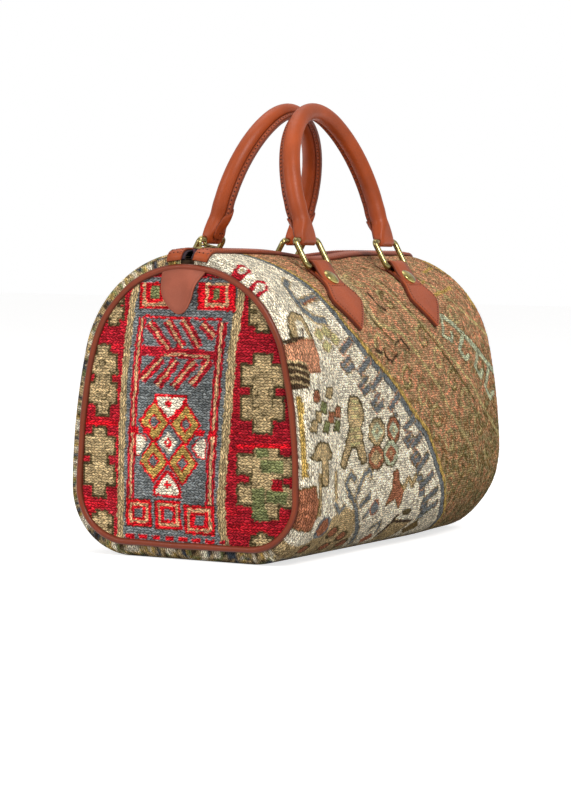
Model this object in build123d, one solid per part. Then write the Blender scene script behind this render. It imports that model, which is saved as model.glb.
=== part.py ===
from build123d import *
from math import asin, atan2, cos, degrees, hypot, radians, sin
import os

# A rounded carpet bag, in millimetres.
# +X runs along the zip, -Y is the front, +Z is up, and the flat base stands on Z = 0.
# Bag body
seam_length = 342.0
panel_width = 178.0
panel_height = 200.0
panel_corner_radius = 39.0
panel_crown_radius = 80.0
swell = 10.0
carpet_thickness = 2.4
seam_lip = 1.0
seat_gap = 0.05

# Coloured yarn standing on the ground weave
yarn_height = 0.4
yarn_lift = 0.03
yarn_edge_inset = 3.5

# Piping round each end seam
piping_radius = 2.4
piping_stand = 0.6

# Lining and base board
lining_thickness = 0.8
lining_gap = 0.1
board_end_margin = 13.0
board_side_margin = 42.0
board_thickness = 2.0
board_corner_radius = 12.0

# Zip
tape_thickness = 0.75
tape_outer = 16.5
chain_half_width = 2.7
chain_height = 2.7
chain_end_margin = 3.0
tooth_pitch = 4.0
tooth_thickness = 1.5
binding_inner = 5.0
binding_outer = 17.5
binding_thickness = 1.8
zip_slot_half = 5.2
stop_length = 2.5
stop_gap = 0.7

# Zip slider and its pull
slider_length = 14.0
slider_width = 9.2
slider_plate = 1.2
slider_clearance = 0.3
slider_post = 0.8
slider_post_length = 5.0
bridge_length = 9.0
bridge_height = 5.7
bridge_wire = 1.5
pull_length = 18.0
pull_width = 5.6
pull_thickness = 1.2
pull_eye_length = 6.2
pull_bar_radius = 0.7
pull_axis_height = 1.7

# Leather tab at the top of each end panel
tab_width = 35.0
tab_drop = 34.0
tab_thickness = 1.8

# Chapes that hold the rings
fitting_spacing = 134.0
chape_neck_width = 26.0
chape_leaf_width = 47.0
chape_thickness = 3.3
chape_lift = 0.5
chape_fold_leather = 1.8
chape_tip_angle = 68.0
chape_wide_angle = 54.0
chape_neck_angle = 42.0
ring_bar_from_centre = 50.0
rivet_angle = 39.5
rivet_head_radius = 5.7
rivet_head_height = 3.0
rivet_post_radius = 1.5
rivet_washer_radius = 4.5
rivet_washer_thickness = 0.8

# Rectangular rings
ring_wire_radius = 2.2
ring_width = 36.0
ring_height = 22.0
ring_corner_radius = 3.2
ring_lean = 29.0
pin_clearance = 0.06

# Rolled handles
handle_rise = 101.5
handle_leg = 26.0
handle_crown_radius = 56.5
handle_radius = 6.5
handle_core_radius = 4.6
handle_core_clearance = 0.1
handle_lean = 16.5
handle_fold_leather = 1.85
handle_fold_width = 22.5
handle_flare_height = 19.0
handle_seam_depth = 3.4
handle_seam_width = 3.4
handle_seam_start = 24.0

# Values that follow from the ones above
seam_x = seam_length / 2
crown_centre_z = swell + panel_height - panel_crown_radius
crown_z = swell + panel_height + swell
straight_half = seam_x - swell
chain_half = straight_half - chain_end_margin
tape_grow = swell + seat_gap
binding_grow = tape_grow + tape_thickness + seat_gap
chain_z = crown_z + seat_gap + tape_thickness / 2
far_size = 400.0


def dee(grow):
    """Closed outline of the end panel, grown outward on every side."""
    half = panel_width / 2 + grow
    corner = panel_corner_radius + grow
    crown = panel_crown_radius + grow
    base = swell - grow
    corner_z = base + corner
    rise = crown_centre_z - corner_z
    side = (half**2 + rise**2 - crown**2) / (2 * (half - crown))
    turn = degrees(atan2(rise, side - half))
    foot = half - corner
    edges = [
        Line((-foot, base), (foot, base)),
        CenterArc((foot, corner_z), corner, -90, 90),
        CenterArc((half - side, corner_z), side, 0, turn),
        CenterArc((0, crown_centre_z), crown, turn, 180 - 2 * turn),
        CenterArc((side - half, corner_z), side, 180 - turn, turn),
        CenterArc((-foot, corner_z), corner, 180, 90),
    ]
    return edges


def dee_slab(grow, x_low, x_high):
    """A plate with the panel's outline between two places along the bag."""
    face = Plane.YZ.offset(x_low) * make_face(dee(grow))
    return extrude(face, amount=x_high - x_low, dir=(1, 0, 0))


def bag_form(grow):
    """The bag's body as a full solid, its ends rounded in to the end seams."""
    half = straight_half + grow
    body = dee_slab(grow, -half, half)
    ends = body.edges().group_by(Axis.X)
    return fillet(ends[0] + ends[-1], grow)


def skin(inner_grow, outer_grow):
    """The layer between two sizes of the bag's form."""
    return bag_form(outer_grow) - bag_form(inner_grow)


def block(x_low, x_high, y_low, y_high, z_low, z_high):
    """A box given by its lowest and highest corners."""
    middle = ((x_low + x_high) / 2, (y_low + y_high) / 2, (z_low + z_high) / 2)
    return Pos(*middle) * Box(x_high - x_low, y_high - y_low, z_high - z_low)


def half_turn(shape):
    """The same shape turned to the other end and the other side."""
    return Rot(0, 0, 180) * shape


def mirrored_front_to_rear(shape):
    return mirror(shape, about=Plane.XZ)


def crown_point(radius, angle):
    """A point of the front half in the Y-Z plane, by its radius and angle from the crown."""
    turn = radians(angle)
    return (-radius * sin(turn), crown_centre_z + radius * cos(turn))


# Piping
def piping_tube(radius):
    """A round tube along the near end seam."""
    path = Plane.YZ.offset(-seam_x - piping_stand) * Wire(dee(-seam_lip))
    start = path @ 0
    profile = Plane(origin=start, z_dir=path % 0) * Circle(radius)
    return sweep(profile, path=path)


def piping():
    return piping_tube(piping_radius)


# Carpet body
def carpet_wrap(near_groove, rivet_holes):
    """The carpet folded round the bag, open at the ends and along the zip."""
    shell = skin(swell - carpet_thickness, swell)
    mouth = dee_slab(-seam_lip, -far_size, far_size)
    slot = block(-far_size, far_size, -zip_slot_half, zip_slot_half, crown_centre_z, far_size)
    return shell - mouth - slot - near_groove - half_turn(near_groove) - rivet_holes


def end_panel(near_groove):
    plate = dee_slab(-seam_lip - seat_gap, -seam_x, -seam_x + carpet_thickness)
    return plate - near_groove


def lining(rivet_holes):
    """A thin bag inside the carpet, open along the zip."""
    outer = swell - carpet_thickness - lining_gap
    shell = skin(outer - lining_thickness, outer)
    slot = block(-far_size, far_size, -zip_slot_half, zip_slot_half, crown_centre_z, far_size)
    return shell - slot - rivet_holes


def base_board():
    """A stiff board lying on the lining's floor."""
    floor_z = carpet_thickness + lining_gap + lining_thickness + seat_gap
    length = seam_length - 2 * board_end_margin
    width = panel_width - 2 * board_side_margin
    outline = RectangleRounded(length, width, board_corner_radius)
    return Pos(0, 0, floor_z) * extrude(outline, amount=board_thickness)


# Zip
def strip_along_zip(inner_grow, thickness, y_inner, y_outer, groove):
    """A strip that follows the crown from seam to seam, on the front side."""
    layer = skin(inner_grow, inner_grow + thickness)
    window = block(-far_size, far_size, -y_outer, -y_inner, swell + panel_height + seam_lip, far_size)
    return (layer & window) - groove - half_turn(groove)


def tooth_row(shift):
    """One row of zip teeth on the front tape, each a separate block."""
    count = int((2 * chain_half - tooth_thickness - shift) // tooth_pitch) + 1
    inner = slider_post / 2 + slider_clearance
    teeth = []
    for i in range(count):
        x = -chain_half + shift + i * tooth_pitch
        low = chain_z - chain_height / 2
        teeth.append(block(x, x + tooth_thickness, -chain_half_width, -inner, low, low + chain_height))
    return teeth


def zip_top_stop():
    """The small block that stops the slider at the closed end, on the front tape."""
    x = -chain_half - stop_gap - stop_length
    low = chain_z - chain_height / 2
    inner = slider_post / 2 + slider_clearance
    return block(x, x + stop_length, -chain_half_width, -inner, low, low + chain_height)


def zip_bottom_stop():
    """The block that joins both tapes at the open end."""
    x = chain_half + stop_gap
    low = chain_z - chain_height / 2
    return block(x, x + stop_length, -chain_half_width, chain_half_width, low, low + chain_height)


slider_x = -chain_half + slider_length / 2 - stop_gap / 2
slider_roof = chain_z + chain_height / 2 + slider_clearance + slider_plate
pull_axis_z = slider_roof + pull_axis_height


def zip_slider():
    """Two plates joined by a post, with lipped sides and a bridge for the pull."""
    half_width = slider_width / 2
    half_length = slider_length / 2
    room_height = chain_height + 2 * slider_clearance
    room_half = chain_half_width + slider_clearance
    low = slider_roof - 2 * slider_plate - room_height
    body = block(-half_length, half_length, -half_width, half_width, low, slider_roof)
    corners = body.edges().filter_by(Axis.Z)
    body = chamfer(corners, 1.6)
    room_low = chain_z - room_height / 2
    channel = block(-far_size, far_size, -room_half, room_half, room_low, room_low + room_height)
    lip = tape_thickness / 2 + slider_clearance
    lips = block(-far_size, far_size, -far_size, far_size, chain_z - lip, chain_z + lip)
    post_x = -half_length + 1.0
    post = block(post_x, post_x + slider_post_length, -slider_post / 2, slider_post / 2, low, slider_roof)
    arch = Plane.XZ * (
        Pos(0, slider_roof) * Rectangle(bridge_length, 2 * bridge_height)
    )
    arch = extrude(arch, amount=bridge_wire / 2, both=True)
    arch = fillet(arch.edges().filter_by(Axis.Y), 2.4)
    window_length = bridge_length - 2 * bridge_wire
    window_height = bridge_height - bridge_wire
    window = Plane.XZ * (Pos(0, slider_roof) * Rectangle(window_length, 2 * window_height))
    window = extrude(window, amount=bridge_wire, both=True)
    window = fillet(window.edges().filter_by(Axis.Y), 1.2)
    above = block(-far_size, far_size, -far_size, far_size, slider_roof, far_size)
    bridge = (arch - window) & above
    return Pos(slider_x, 0, 0) * (body - channel - lips + post + bridge)


def zip_pull():
    """A brass leaf whose crossbar lies under the slider's bridge."""
    eye_half = bridge_wire / 2 + slider_clearance
    half_width = pull_width / 2
    leaf_length = pull_length - half_width
    leaf = block(0, leaf_length, -half_width, half_width, -pull_thickness / 2, pull_thickness / 2)
    toe = Pos(leaf_length, 0, 0) * Cylinder(half_width, pull_thickness)
    eye = block(-far_size, pull_eye_length, -eye_half, eye_half, -far_size, far_size)
    finger_hole = Pos(leaf_length, 0, 0) * Cylinder(half_width * 0.42, 2 * pull_thickness)
    bar = Rot(90, 0, 0) * Cylinder(pull_bar_radius, pull_width)
    pull = leaf + toe - eye - finger_hole + bar
    drop = slider_plate - slider_clearance - pull_thickness / 2 + (pull_axis_height - slider_plate)
    droop = degrees(asin(drop / (slider_length / 2)))
    return Pos(slider_x, 0, pull_axis_z) * Rot(0, droop, 0) * pull


# End tabs
def end_tab(near_groove):
    """A leather tab hanging from the seam over the near end panel."""
    top = swell + panel_height
    half = tab_width / 2
    low = top - tab_drop
    shoulder = low + 0.45 * tab_drop
    toe_radius = 0.3 * tab_width
    outline = Polyline((-half, top), (half, top), (0.9 * half, shoulder), (0, low - 0.2 * tab_drop),
                       (-0.9 * half, shoulder), close=True)
    face = make_face(outline)
    corners = face.vertices().group_by(Axis.Y)
    face = fillet(corners[1], 10.0)
    face = fillet(face.vertices().group_by(Axis.Y)[0], toe_radius)
    near_face = -seam_x - yarn_height - seat_gap
    plane = Plane(origin=(near_face, 0, 0), x_dir=(0, -1, 0), z_dir=(-1, 0, 0))
    inside_seam = dee_slab(-seam_lip, -far_size, 0)
    return (extrude(plane * face, amount=tab_thickness) & inside_seam) - near_groove


# Rings, chapes and rivets
def bar_centre():
    """Centre of a front ring's lower bar in the Y-Z plane, clear of the carpet below it."""
    fold = ring_wire_radius + pin_clearance + chape_fold_leather
    radius = panel_crown_radius + swell + chape_lift + fold
    angle = degrees(asin(ring_bar_from_centre / radius))
    return crown_point(radius, angle), radius, angle


(lower_y, lower_z), lower_radius, lower_angle = bar_centre()
upper_y = lower_y + ring_height * sin(radians(ring_lean))
upper_z = lower_z + ring_height * cos(radians(ring_lean))
ring_x = fitting_spacing / 2


def ring():
    """A rectangular wire ring, lower bar in a front chape and upper bar in the handle."""
    outline = RectangleRounded(ring_width, ring_height, ring_corner_radius)
    plane = Plane(origin=(0, (lower_y + upper_y) / 2, (lower_z + upper_z) / 2), x_dir=(1, 0, 0),
                  z_dir=(0, -cos(radians(ring_lean)), sin(radians(ring_lean))))
    path = (plane * outline).face().outer_wire()
    profile = Plane(origin=path @ 0, z_dir=path % 0) * Circle(ring_wire_radius)
    return sweep(profile, path=path)


def rod_x(centre_y, centre_z, radius, length):
    """A round bar along X."""
    return Pos(0, centre_y, centre_z) * Rot(0, 90, 0) * Cylinder(radius, length)


def chape_plan():
    """The chape's flat outline seen square to its middle, as a prism."""
    view_angle = (lower_angle + chape_tip_angle) / 2
    reach = panel_crown_radius + swell + chape_lift + chape_thickness / 2
    neck = chape_neck_width / 2
    leaf = chape_leaf_width / 2

    def along(angle):
        return -reach * sin(radians(angle - view_angle))

    start = along(lower_angle - 8)
    outline = Polyline((-neck, start), (neck, start), (neck, along(chape_neck_angle)),
                       (leaf, along(chape_wide_angle)), (0, along(chape_tip_angle)),
                       (-leaf, along(chape_wide_angle)), (-neck, along(chape_neck_angle)), close=True)
    face = make_face(outline)
    rows = face.vertices().group_by(Axis.Y)
    face = fillet(rows[0], 2.5)
    rows = face.vertices().group_by(Axis.Y)
    wide = [v for v in face.vertices() if abs(abs(v.X) - leaf) < 0.01]
    face = fillet(wide, 5.0)
    waist = [v for v in face.vertices() if abs(abs(v.X) - neck) < 0.01 and v.Y < start - 1]
    face = fillet(waist, 14.0)
    centre_y, centre_z = crown_point(reach, view_angle)
    normal = (0, -sin(radians(view_angle)), cos(radians(view_angle)))
    plane = Plane(origin=(0, centre_y, centre_z), x_dir=(1, 0, 0), z_dir=normal)
    return extrude(plane * face, amount=chape_leaf_width / 2, both=True)


def chape():
    """Leather folded round a front ring's lower bar and laid down the bag's shoulder."""
    low = panel_crown_radius + swell + chape_lift
    high = low + chape_thickness
    fold = ring_wire_radius + pin_clearance + chape_fold_leather
    pinch = lower_angle + 3.4
    start = 90 + lower_angle
    sweep_angle = chape_tip_angle + 6 - lower_angle
    centre = (0, crown_centre_z)
    band = make_face([
        CenterArc(centre, high, start, sweep_angle),
        Line(crown_point(high, lower_angle + sweep_angle), crown_point(low, lower_angle + sweep_angle)),
        CenterArc(centre, low, start, sweep_angle),
        Line(crown_point(low, lower_angle), crown_point(high, lower_angle)),
    ])
    wedge = make_face(Polyline(
        crown_point(lower_radius + fold, lower_angle + 0.4), crown_point(high, pinch),
        crown_point(low, pinch), crown_point(lower_radius - fold, lower_angle), close=True))
    leaf = extrude(Plane.YZ * band, amount=chape_leaf_width, both=True)
    throat = extrude(Plane.YZ * wedge, amount=chape_neck_width / 2, both=True)
    roll = rod_x(lower_y, lower_z, fold, chape_neck_width)
    hole = rod_x(lower_y, lower_z, ring_wire_radius + pin_clearance, far_size)
    return (leaf & chape_plan()) + throat + roll - hole - rivet_axis(rivet_post_radius + seat_gap)


def rivet_frame(radius):
    """A place on the rivet's axis at a radius from the crown centre, looking outward."""
    y, z = crown_point(radius, rivet_angle)
    normal = (0, -sin(radians(rivet_angle)), cos(radians(rivet_angle)))
    return Plane(origin=(0, y, z), x_dir=(1, 0, 0), z_dir=normal)


def rivet_axis(radius):
    """A rod through the leather and the carpet at the rivet."""
    start = rivet_frame(panel_crown_radius + swell - 12)
    return extrude(start * Circle(radius), amount=30)


leaf_top = panel_crown_radius + swell + chape_lift + chape_thickness


def rivet():
    """A domed cap on a post that reaches through to the washer inside."""
    head = rivet_frame(leaf_top + seat_gap)
    dome_radius = (rivet_head_radius**2 + rivet_head_height**2) / (2 * rivet_head_height)
    dome = Pos(0, 0, rivet_head_height - dome_radius) * Sphere(dome_radius)
    cut = Pos(0, 0, -far_size / 2) * Box(far_size, far_size, far_size)
    cap = head * (dome - cut)
    washer_top = washer_seat()
    length = leaf_top + 0.3 - washer_top
    post = extrude(rivet_frame(washer_top) * Circle(rivet_post_radius), amount=length + seat_gap)
    return cap + post


def washer_seat():
    """Radius at which the washer's outer face lies, just inside the lining."""
    lining_inner = panel_crown_radius + swell - carpet_thickness - lining_gap - lining_thickness
    sag = lining_inner - (lining_inner**2 - rivet_washer_radius**2) ** 0.5
    return lining_inner - seat_gap - sag


def rivet_washer():
    """The back disc inside the bag that the post is hammered over."""
    seat = washer_seat() - rivet_washer_thickness
    ring_face = Circle(rivet_washer_radius) - Circle(rivet_post_radius + seat_gap)
    disc = extrude(rivet_frame(seat) * ring_face, amount=rivet_washer_thickness)
    tail = extrude(rivet_frame(seat - 0.4) * Circle(rivet_post_radius * 0.9), amount=0.4)
    return disc + extrude(rivet_frame(seat - 0.4) * Circle(rivet_post_radius * 1.6), amount=0.4) + tail


# Handles
def handle_path(start_height):
    """Centre line of a handle, standing in the X-Z plane above its ring bars."""
    half = fitting_spacing / 2
    arch = handle_rise - handle_leg
    fall = arch - handle_crown_radius
    side = (half**2 + fall**2 - handle_crown_radius**2) / (2 * (half - handle_crown_radius))
    turn = degrees(atan2(fall, side - half))
    edges = [
        Line((-half, start_height), (-half, handle_leg)),
        CenterArc((side - half, handle_leg), side, 180, -turn),
        CenterArc((0, handle_rise - handle_crown_radius), handle_crown_radius, 180 - turn, 2 * turn - 180),
        CenterArc((half - side, handle_leg), side, turn, -turn),
        Line((half, handle_leg), (half, start_height)),
    ]
    return Plane.XZ * Wire(edges)


def handle_sweep(profile, start_height):
    """A section carried along the handle's centre line."""
    path = handle_path(start_height)
    start = Plane(origin=path @ 0, x_dir=(1, 0, 0), z_dir=path % 0)
    return sweep(start * profile, path=path)


def handle_end():
    """Flared foot of the roll, folded round the ring's upper bar."""
    fold = ring_wire_radius + pin_clearance + handle_fold_leather
    foot = Pos(0, 0, 0.4 * fold) * RectangleRounded(handle_fold_width, 1.8 * fold, 0.85 * fold)
    mid = Pos(0, 0, 0.42 * handle_flare_height) * Ellipse(0.72 * handle_fold_width / 2, 0.86 * handle_radius)
    top = Pos(0, 0, handle_flare_height) * Circle(handle_radius)
    flare = loft([foot.face(), mid.face(), top.face()])
    roll = rod_x(0, 0, fold, handle_fold_width)
    hole = rod_x(0, 0, ring_wire_radius + pin_clearance, far_size)
    return flare + roll - hole


def handle_place(shape):
    """From the upright drawing to the front handle's leaning place."""
    return Pos(0, upper_y, upper_z) * Rot(-handle_lean, 0, 0) * shape


def handle_leather():
    """Leather rolled round a cord, its sewn edge facing the other handle."""
    roll = handle_sweep(Circle(handle_radius), handle_flare_height)
    bore = handle_sweep(Circle(handle_core_radius + handle_core_clearance), handle_flare_height)
    seam_depth = handle_seam_depth + handle_radius - handle_core_radius - 1
    seam_offset = handle_radius + handle_seam_depth - seam_depth / 2
    seam = handle_sweep(Pos(0, seam_offset) * Rectangle(handle_seam_width, seam_depth), handle_seam_start)
    foot = handle_end()
    left = Pos(-fitting_spacing / 2, 0, 0) * foot
    right = Pos(fitting_spacing / 2, 0, 0) * foot
    return handle_place(roll - bore + seam + left + right)


def handle_core():
    """The cord inside the roll."""
    return handle_place(handle_sweep(Circle(handle_core_radius), handle_flare_height + handle_core_clearance))


# Coloured yarn fields, drawn on a bag with seams 342 apart and end panels 178 by 200
pattern_along = seam_length / 342
pattern_across = panel_width / 178
pattern_up = panel_height / 200


def field(*corners):
    """A flat patch of one colour on the end panel, from its corner points."""
    return make_face(Polyline(*[(u * pattern_across, v * pattern_up) for u, v in corners], close=True))


def square(u, v, half):
    return field((u - half, v - half), (u + half, v - half), (u + half, v + half), (u - half, v + half))


def diamond(u, v, half_width, half_height):
    return field((u - half_width, v), (u, v - half_height), (u + half_width, v), (u, v + half_height))


def stripe_corners(points, width, shift=0):
    """Corners of a band along a bent line, its middle moved to the line's left by a shift."""
    sides = ([], [])
    for i, (u, v) in enumerate(points):
        before = points[max(i - 1, 0)]
        after = points[min(i + 1, len(points) - 1)]
        du, dv = after[0] - before[0], after[1] - before[1]
        size = hypot(du, dv)
        for side, reach in zip(sides, (shift - width / 2, shift + width / 2)):
            side.append((u - dv / size * reach, v + du / size * reach))
    return sides[0] + sides[1][::-1]


def stripe(points, width, shift=0):
    return field(*stripe_corners(points, width, shift))


def stepped_cross(u, v, width, height):
    """The upright figure with two pairs of square arms in the side columns."""
    right = [(0.2, 0.5), (0.2, 0.34), (0.5, 0.34), (0.5, 0.1), (0.28, 0.1),
             (0.28, -0.06), (0.5, -0.06), (0.5, -0.3), (0.2, -0.3), (0.2, -0.5)]
    left = [(-across, up) for across, up in reversed(right)]
    return field(*[(u + across * width, v + up * height) for across, up in right + left])


def painted(steps):
    """Areas of each colour that don't overlap, where a later colour covers an earlier one."""
    areas = {}
    for colour, faces in steps:
        fresh = Sketch() + faces
        areas = {name: area - fresh for name, area in areas.items()}
        areas[colour] = areas.get(colour, Sketch()) + fresh
    return areas


# End panel pattern, seen from outside: distance to the right of the middle and height
left_line = [(-39.5, 194), (-43.4, 182), (-48.4, 152), (-50.6, 102), (-52.8, 42), (-53.4, 14)]
right_line = [(43.5, 201), (42.4, 194), (37.0, 152), (33.0, 102), (29.4, 42), (31.0, 12)]
left_inner = [(-45.2, 171), (-48.4, 152), (-50.6, 102), (-52.7, 44)]
right_inner = [(39.3, 171), (37.0, 152), (33.0, 102), (29.5, 44)]


def end_bands():
    """The long bands that divide the end panel into columns."""
    return [
        ("slate", [field(*left_line, *reversed(right_line))]),
        ("khaki", [stripe(left_line, 5.0), stripe(right_line, 6.0)]),
        ("scarlet", [stripe(left_inner, 7.0, 9.9), stripe(right_inner, 8.6, -10.3)]),
        ("cream", [stripe(left_inner, 2.4, 9.9), stripe(right_inner, 2.8, -10.4)]),
    ]


def framed_squares():
    """Nested squares above and below the middle column."""
    frames = [(-26.7, 189.8, 9.9), (25.5, 190.5, 12.0),
              (-38.4, 34.0, 9.4), (-15.0, 32.0, 9.4), (11.4, 30.4, 9.4)]
    return [
        ("scarlet", [square(u, v, half) for u, v, half in frames]),
        ("cream", [square(u, v, 0.76 * half) for u, v, half in frames]),
        ("scarlet", [square(u, v, 0.6 * half) for u, v, half in frames]),
        ("slate", [square(u, v, 0.36 * half) for u, v, half in frames]),
    ]


def branched_stem():
    """The lying stem with slanted branches in the upper part of the column."""
    stem = [(-35, 147), (25, 147)]
    branches = [
        [(-33, 172), (-17, 152)], [(-14, 171), (0, 151)], [(1, 172), (15, 152)], [(15, 171), (24, 159)],
        [(-19, 145), (-36, 128)], [(-5, 145), (-22, 124)], [(10, 145), (-8, 123)], [(22, 143), (6, 124)],
    ]
    return [
        ("scarlet", [stripe(line, 4.4) for line in branches] + [stripe(stem, 3.4)]),
        ("cream", [stripe(line, 1.5) for line in branches]),
    ]


def lozenge_group():
    """Four eyed lozenges round a small one, with triangles above, below and beside them."""
    eyes = [(-24.6, 97.5), (0.4, 97.5), (-25.6, 70.0), (-2.0, 70.0)]
    return [
        ("scarlet", [diamond(u, v, 11.6, 15.2) for u, v in eyes]
         + [field((-26, 120), (2.6, 118.5), (-13.6, 99)), field((-26.4, 45), (-1.2, 45), (-14, 65.5))]),
        ("ochre", [diamond(u, v, 9.8, 12.8) for u, v in eyes]),
        ("scarlet", [diamond(u, v, 6.2, 7.4) for u, v in eyes]),
        ("slate", [diamond(u, v, 3.9, 4.6) for u, v in eyes]),
        ("cream", [field((-22.2, 118), (-1.4, 116.8), (-13.2, 103.5)),
                   field((-22.6, 47), (-5, 47), (-14, 61.6)),
                   field((-37, 89), (-37, 73), (-30.5, 81)),
                   field((17.5, 87), (17.5, 74), (9, 80.5)),
                   diamond(-13.4, 83.8, 6.4, 7.0)]),
        ("scarlet", [diamond(-12.2, 112.6, 2.6, 2.8), diamond(-14, 53, 2.6, 2.8),
                     diamond(-13.4, 83.8, 3.2, 3.6)]),
    ]


def side_columns():
    """Stepped crosses and thin bright lines on the crimson at both sides."""
    crosses = [(62, 122, 34, 52), (66, 58, 44, 50), (-69, 126, 21, 50), (-72, 68, 23, 50),
               (63, 177, 22, 26), (62, 16, 20, 22), (-62, 178, 16, 24), (-68, 24, 18, 26)]
    lines = [[(-86, 95.6), (-56, 95.2)], [(38, 85), (88, 87)], [(-49, 16), (27, 14.5)]]
    return [
        ("olive", [stepped_cross(u, v, width + 3, height + 3) for u, v, width, height in crosses]),
        ("khaki", [stepped_cross(u, v, width - 1, height - 1) for u, v, width, height in crosses]),
        ("olive", [stripe([(66, 80), (66, 38)], 9), stripe([(50, 62), (84, 62)], 6)]),
        ("scarlet", [stripe(line, 2.4) for line in lines]),
    ]


def end_yarn(steps):
    """Solids of the near end panel's fields, kept inside the piping."""
    inside = make_face(dee(-yarn_edge_inset))
    plane = Plane(origin=(-seam_x - yarn_lift, 0, 0), x_dir=(0, -1, 0), z_dir=(-1, 0, 0))
    return {
        colour: extrude(plane * (area & inside), amount=yarn_height)
        for colour, area in painted(steps).items()
    }


# Front pattern: place along the bag and distance down the front from the crown's middle
yarn_field_half = 160.5
yarn_lowest = 275.0
border_line = [(-127.0, 17.6), (-117.5, 43.8), (-99.0, 85.0), (-89.0, 102.5), (-76.0, 116.0),
               (-59.0, 130.0), (-21.0, 153.8), (1.3, 172.5), (23.8, 187.5), (36.0, 205.0),
               (61.0, 245.0), (80.0, yarn_lowest)]


def front_height(distance):
    """Height of the place on the front that lies a distance down from the crown's middle."""
    outline = Wire(dee(swell))
    foot = panel_width / 2 - panel_corner_radius
    crown_top = outline.length / 2 + foot
    return (outline @ ((crown_top + distance * pattern_up) / outline.length)).Y


def on_front(corners):
    places = [(x * pattern_along, front_height(distance)) for x, distance in corners]
    return make_face(Polyline(*places, close=True))


def front_stripe(points, width, shift=0):
    return on_front(stripe_corners(points, width, shift))


def front_hook(x_low, x_high, high, low):
    """A hook that opens towards the far end, inside a frame given on the front."""
    shape = [(1, 0), (0, 0.35), (0, 0.8), (0.3, 1), (1, 1), (1, 0.7), (0.36, 0.68), (0.36, 0.5), (1, 0.25)]
    return on_front([(x_low + u * (x_high - x_low), high + v * (low - high)) for u, v in shape])


def front_fields(first):
    """The slanting border with the field beside it, from a row of the border down."""
    line = border_line[first:]
    far_side = [(yarn_field_half, yarn_lowest), (yarn_field_half, line[0][1])]
    return [
        ("tan", [on_front(line + far_side)]),
        ("ochre", [front_stripe(line[:-1], 3.0, -5.5)]),
        ("slate", [front_stripe(line[:-1], 4.8)]),
    ]


def border_hooks():
    """Hooks along the border on the pale side."""
    frames = [(-109, -88, 112, 135), (-89, -68, 127, 150), (-70, -47, 140, 164), (-46, -22, 157, 180),
              (-22, -2, 170, 192), (-8, 13, 187, 207), (5, 27, 202, 219), (10, 34, 218, 231),
              (18, 44, 233, 246)]
    return [("slate", [front_hook(*frame) for frame in frames])]


def far_hooks():
    """The pale green chain with hooks, and the long thin vines beside it."""
    frames = [(80, 93, 101, 120), (103, 120, 117, 135), (125, 142, 131, 150), (142, 157, 147, 166)]
    vines = [[(-24, 105), (104, 212)], [(41, 105), (yarn_field_half, 195)]]
    return [
        ("khaki", [front_stripe(vine, 2.6) for vine in vines]),
        ("mint", [front_hook(*frame) for frame in frames]
         + [front_stripe([(87, 97), (157, 142)], 2.6)]),
    ]


def pale_field_figures():
    """The beast, the rosette and the other figures on the pale side."""
    beast = [(-124, 202), (-111, 185), (-106, 176), (-107.5, 164), (-102.5, 155), (-92.5, 154.5),
             (-85, 162.5), (-84, 170.5), (-89, 176), (-86, 187.5), (-80, 201), (-87.5, 202.5),
             (-96, 190), (-105, 189), (-117.5, 204)]
    comb = [(-112, 66), (-128, 63), (-138, 70), (-141, 82), (-138, 93), (-129, 99), (-118, 97),
            (-118, 92), (-128, 92), (-134, 83), (-110, 80), (-108, 75), (-132, 77), (-129, 70),
            (-112, 71)]
    rosette = [(-70, 170), (-32, 172), (-24, 182), (-27, 200), (-40, 208), (-66, 207), (-79, 196),
               (-78, 178)]
    toadstool = [(-160, 196), (-154, 187), (-146, 186), (-139, 193), (-148, 197), (-149, 206),
                 (-154, 206), (-154, 197)]
    brown_figure = [(-38, 212), (-30, 212), (-31, 220), (-25, 225), (-22, 240), (-31, 237),
                    (-44, 233), (-40, 222)]
    brown_patch = [(-160, 94), (-152, 90), (-144, 97), (-139, 131), (-160, 132)]
    low_corner = [(-160, 252), (-130, 245), (-116, 234), (-100, 248), (-70, yarn_lowest),
                  (-160, yarn_lowest)]
    return [
        ("olive", [on_front(beast), on_front(rosette), on_front(toadstool), on_front(low_corner)]),
        ("mint", [on_front([(-72, 176), (-54, 175), (-54, 188), (-72, 189)]),
                  on_front([(-50, 192), (-31, 191), (-33, 204), (-50, 205)])]),
        ("rust", [on_front([(-50, 176), (-31, 176), (-29, 188), (-50, 188)]),
                  on_front([(-74, 193), (-54, 192), (-54, 204), (-70, 204)]),
                  on_front(brown_figure), on_front(brown_patch),
                  on_front([(-129, 249), (-114, 246), (-106, 256), (-120, 262)])]),
        ("slate", [on_front(comb), front_hook(-152, -134, 237, 256),
                   front_stripe([(-117, 215), (-107, 209), (-99, 211)], 3.6),
                   front_stripe([(-114, 217), (-108, 227), (-56, 268)], 4.4),
                   front_stripe([(-104, 226), (-84, 214), (-75, 211)], 3.6),
                   front_stripe([(-26, 262), (-21, 250), (16, 254)], 3.0)]),
        ("ochre", [front_stripe([(-157, 150), (-155, 180), (-156, 222)], 3.0)]),
        ("scarlet", [front_hook(-159, -149, 39, 51), front_hook(-160, -151, 57, 68)]),
    ]


def front_yarn(steps, rivet_holes):
    """Solids of the front's fields, a thin layer on the carpet's outer face."""
    inner = swell + yarn_lift
    layer = dee_slab(inner + yarn_height, -far_size, far_size) - dee_slab(inner, -far_size, far_size)
    plane = Plane.XZ.offset(binding_outer + seat_gap)
    return {
        colour: (extrude(plane * area, amount=panel_width) & layer) - rivet_holes
        for colour, area in painted(steps).items()
    }


# Writing the pieces
def at_fittings(shape):
    """The left and right copies of a piece drawn at the middle of the front."""
    return [Pos(-ring_x, 0, 0) * shape, Pos(ring_x, 0, 0) * shape]


def group(shapes):
    return Compound(children=[solid for shape in shapes for solid in shape.solids()])


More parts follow.
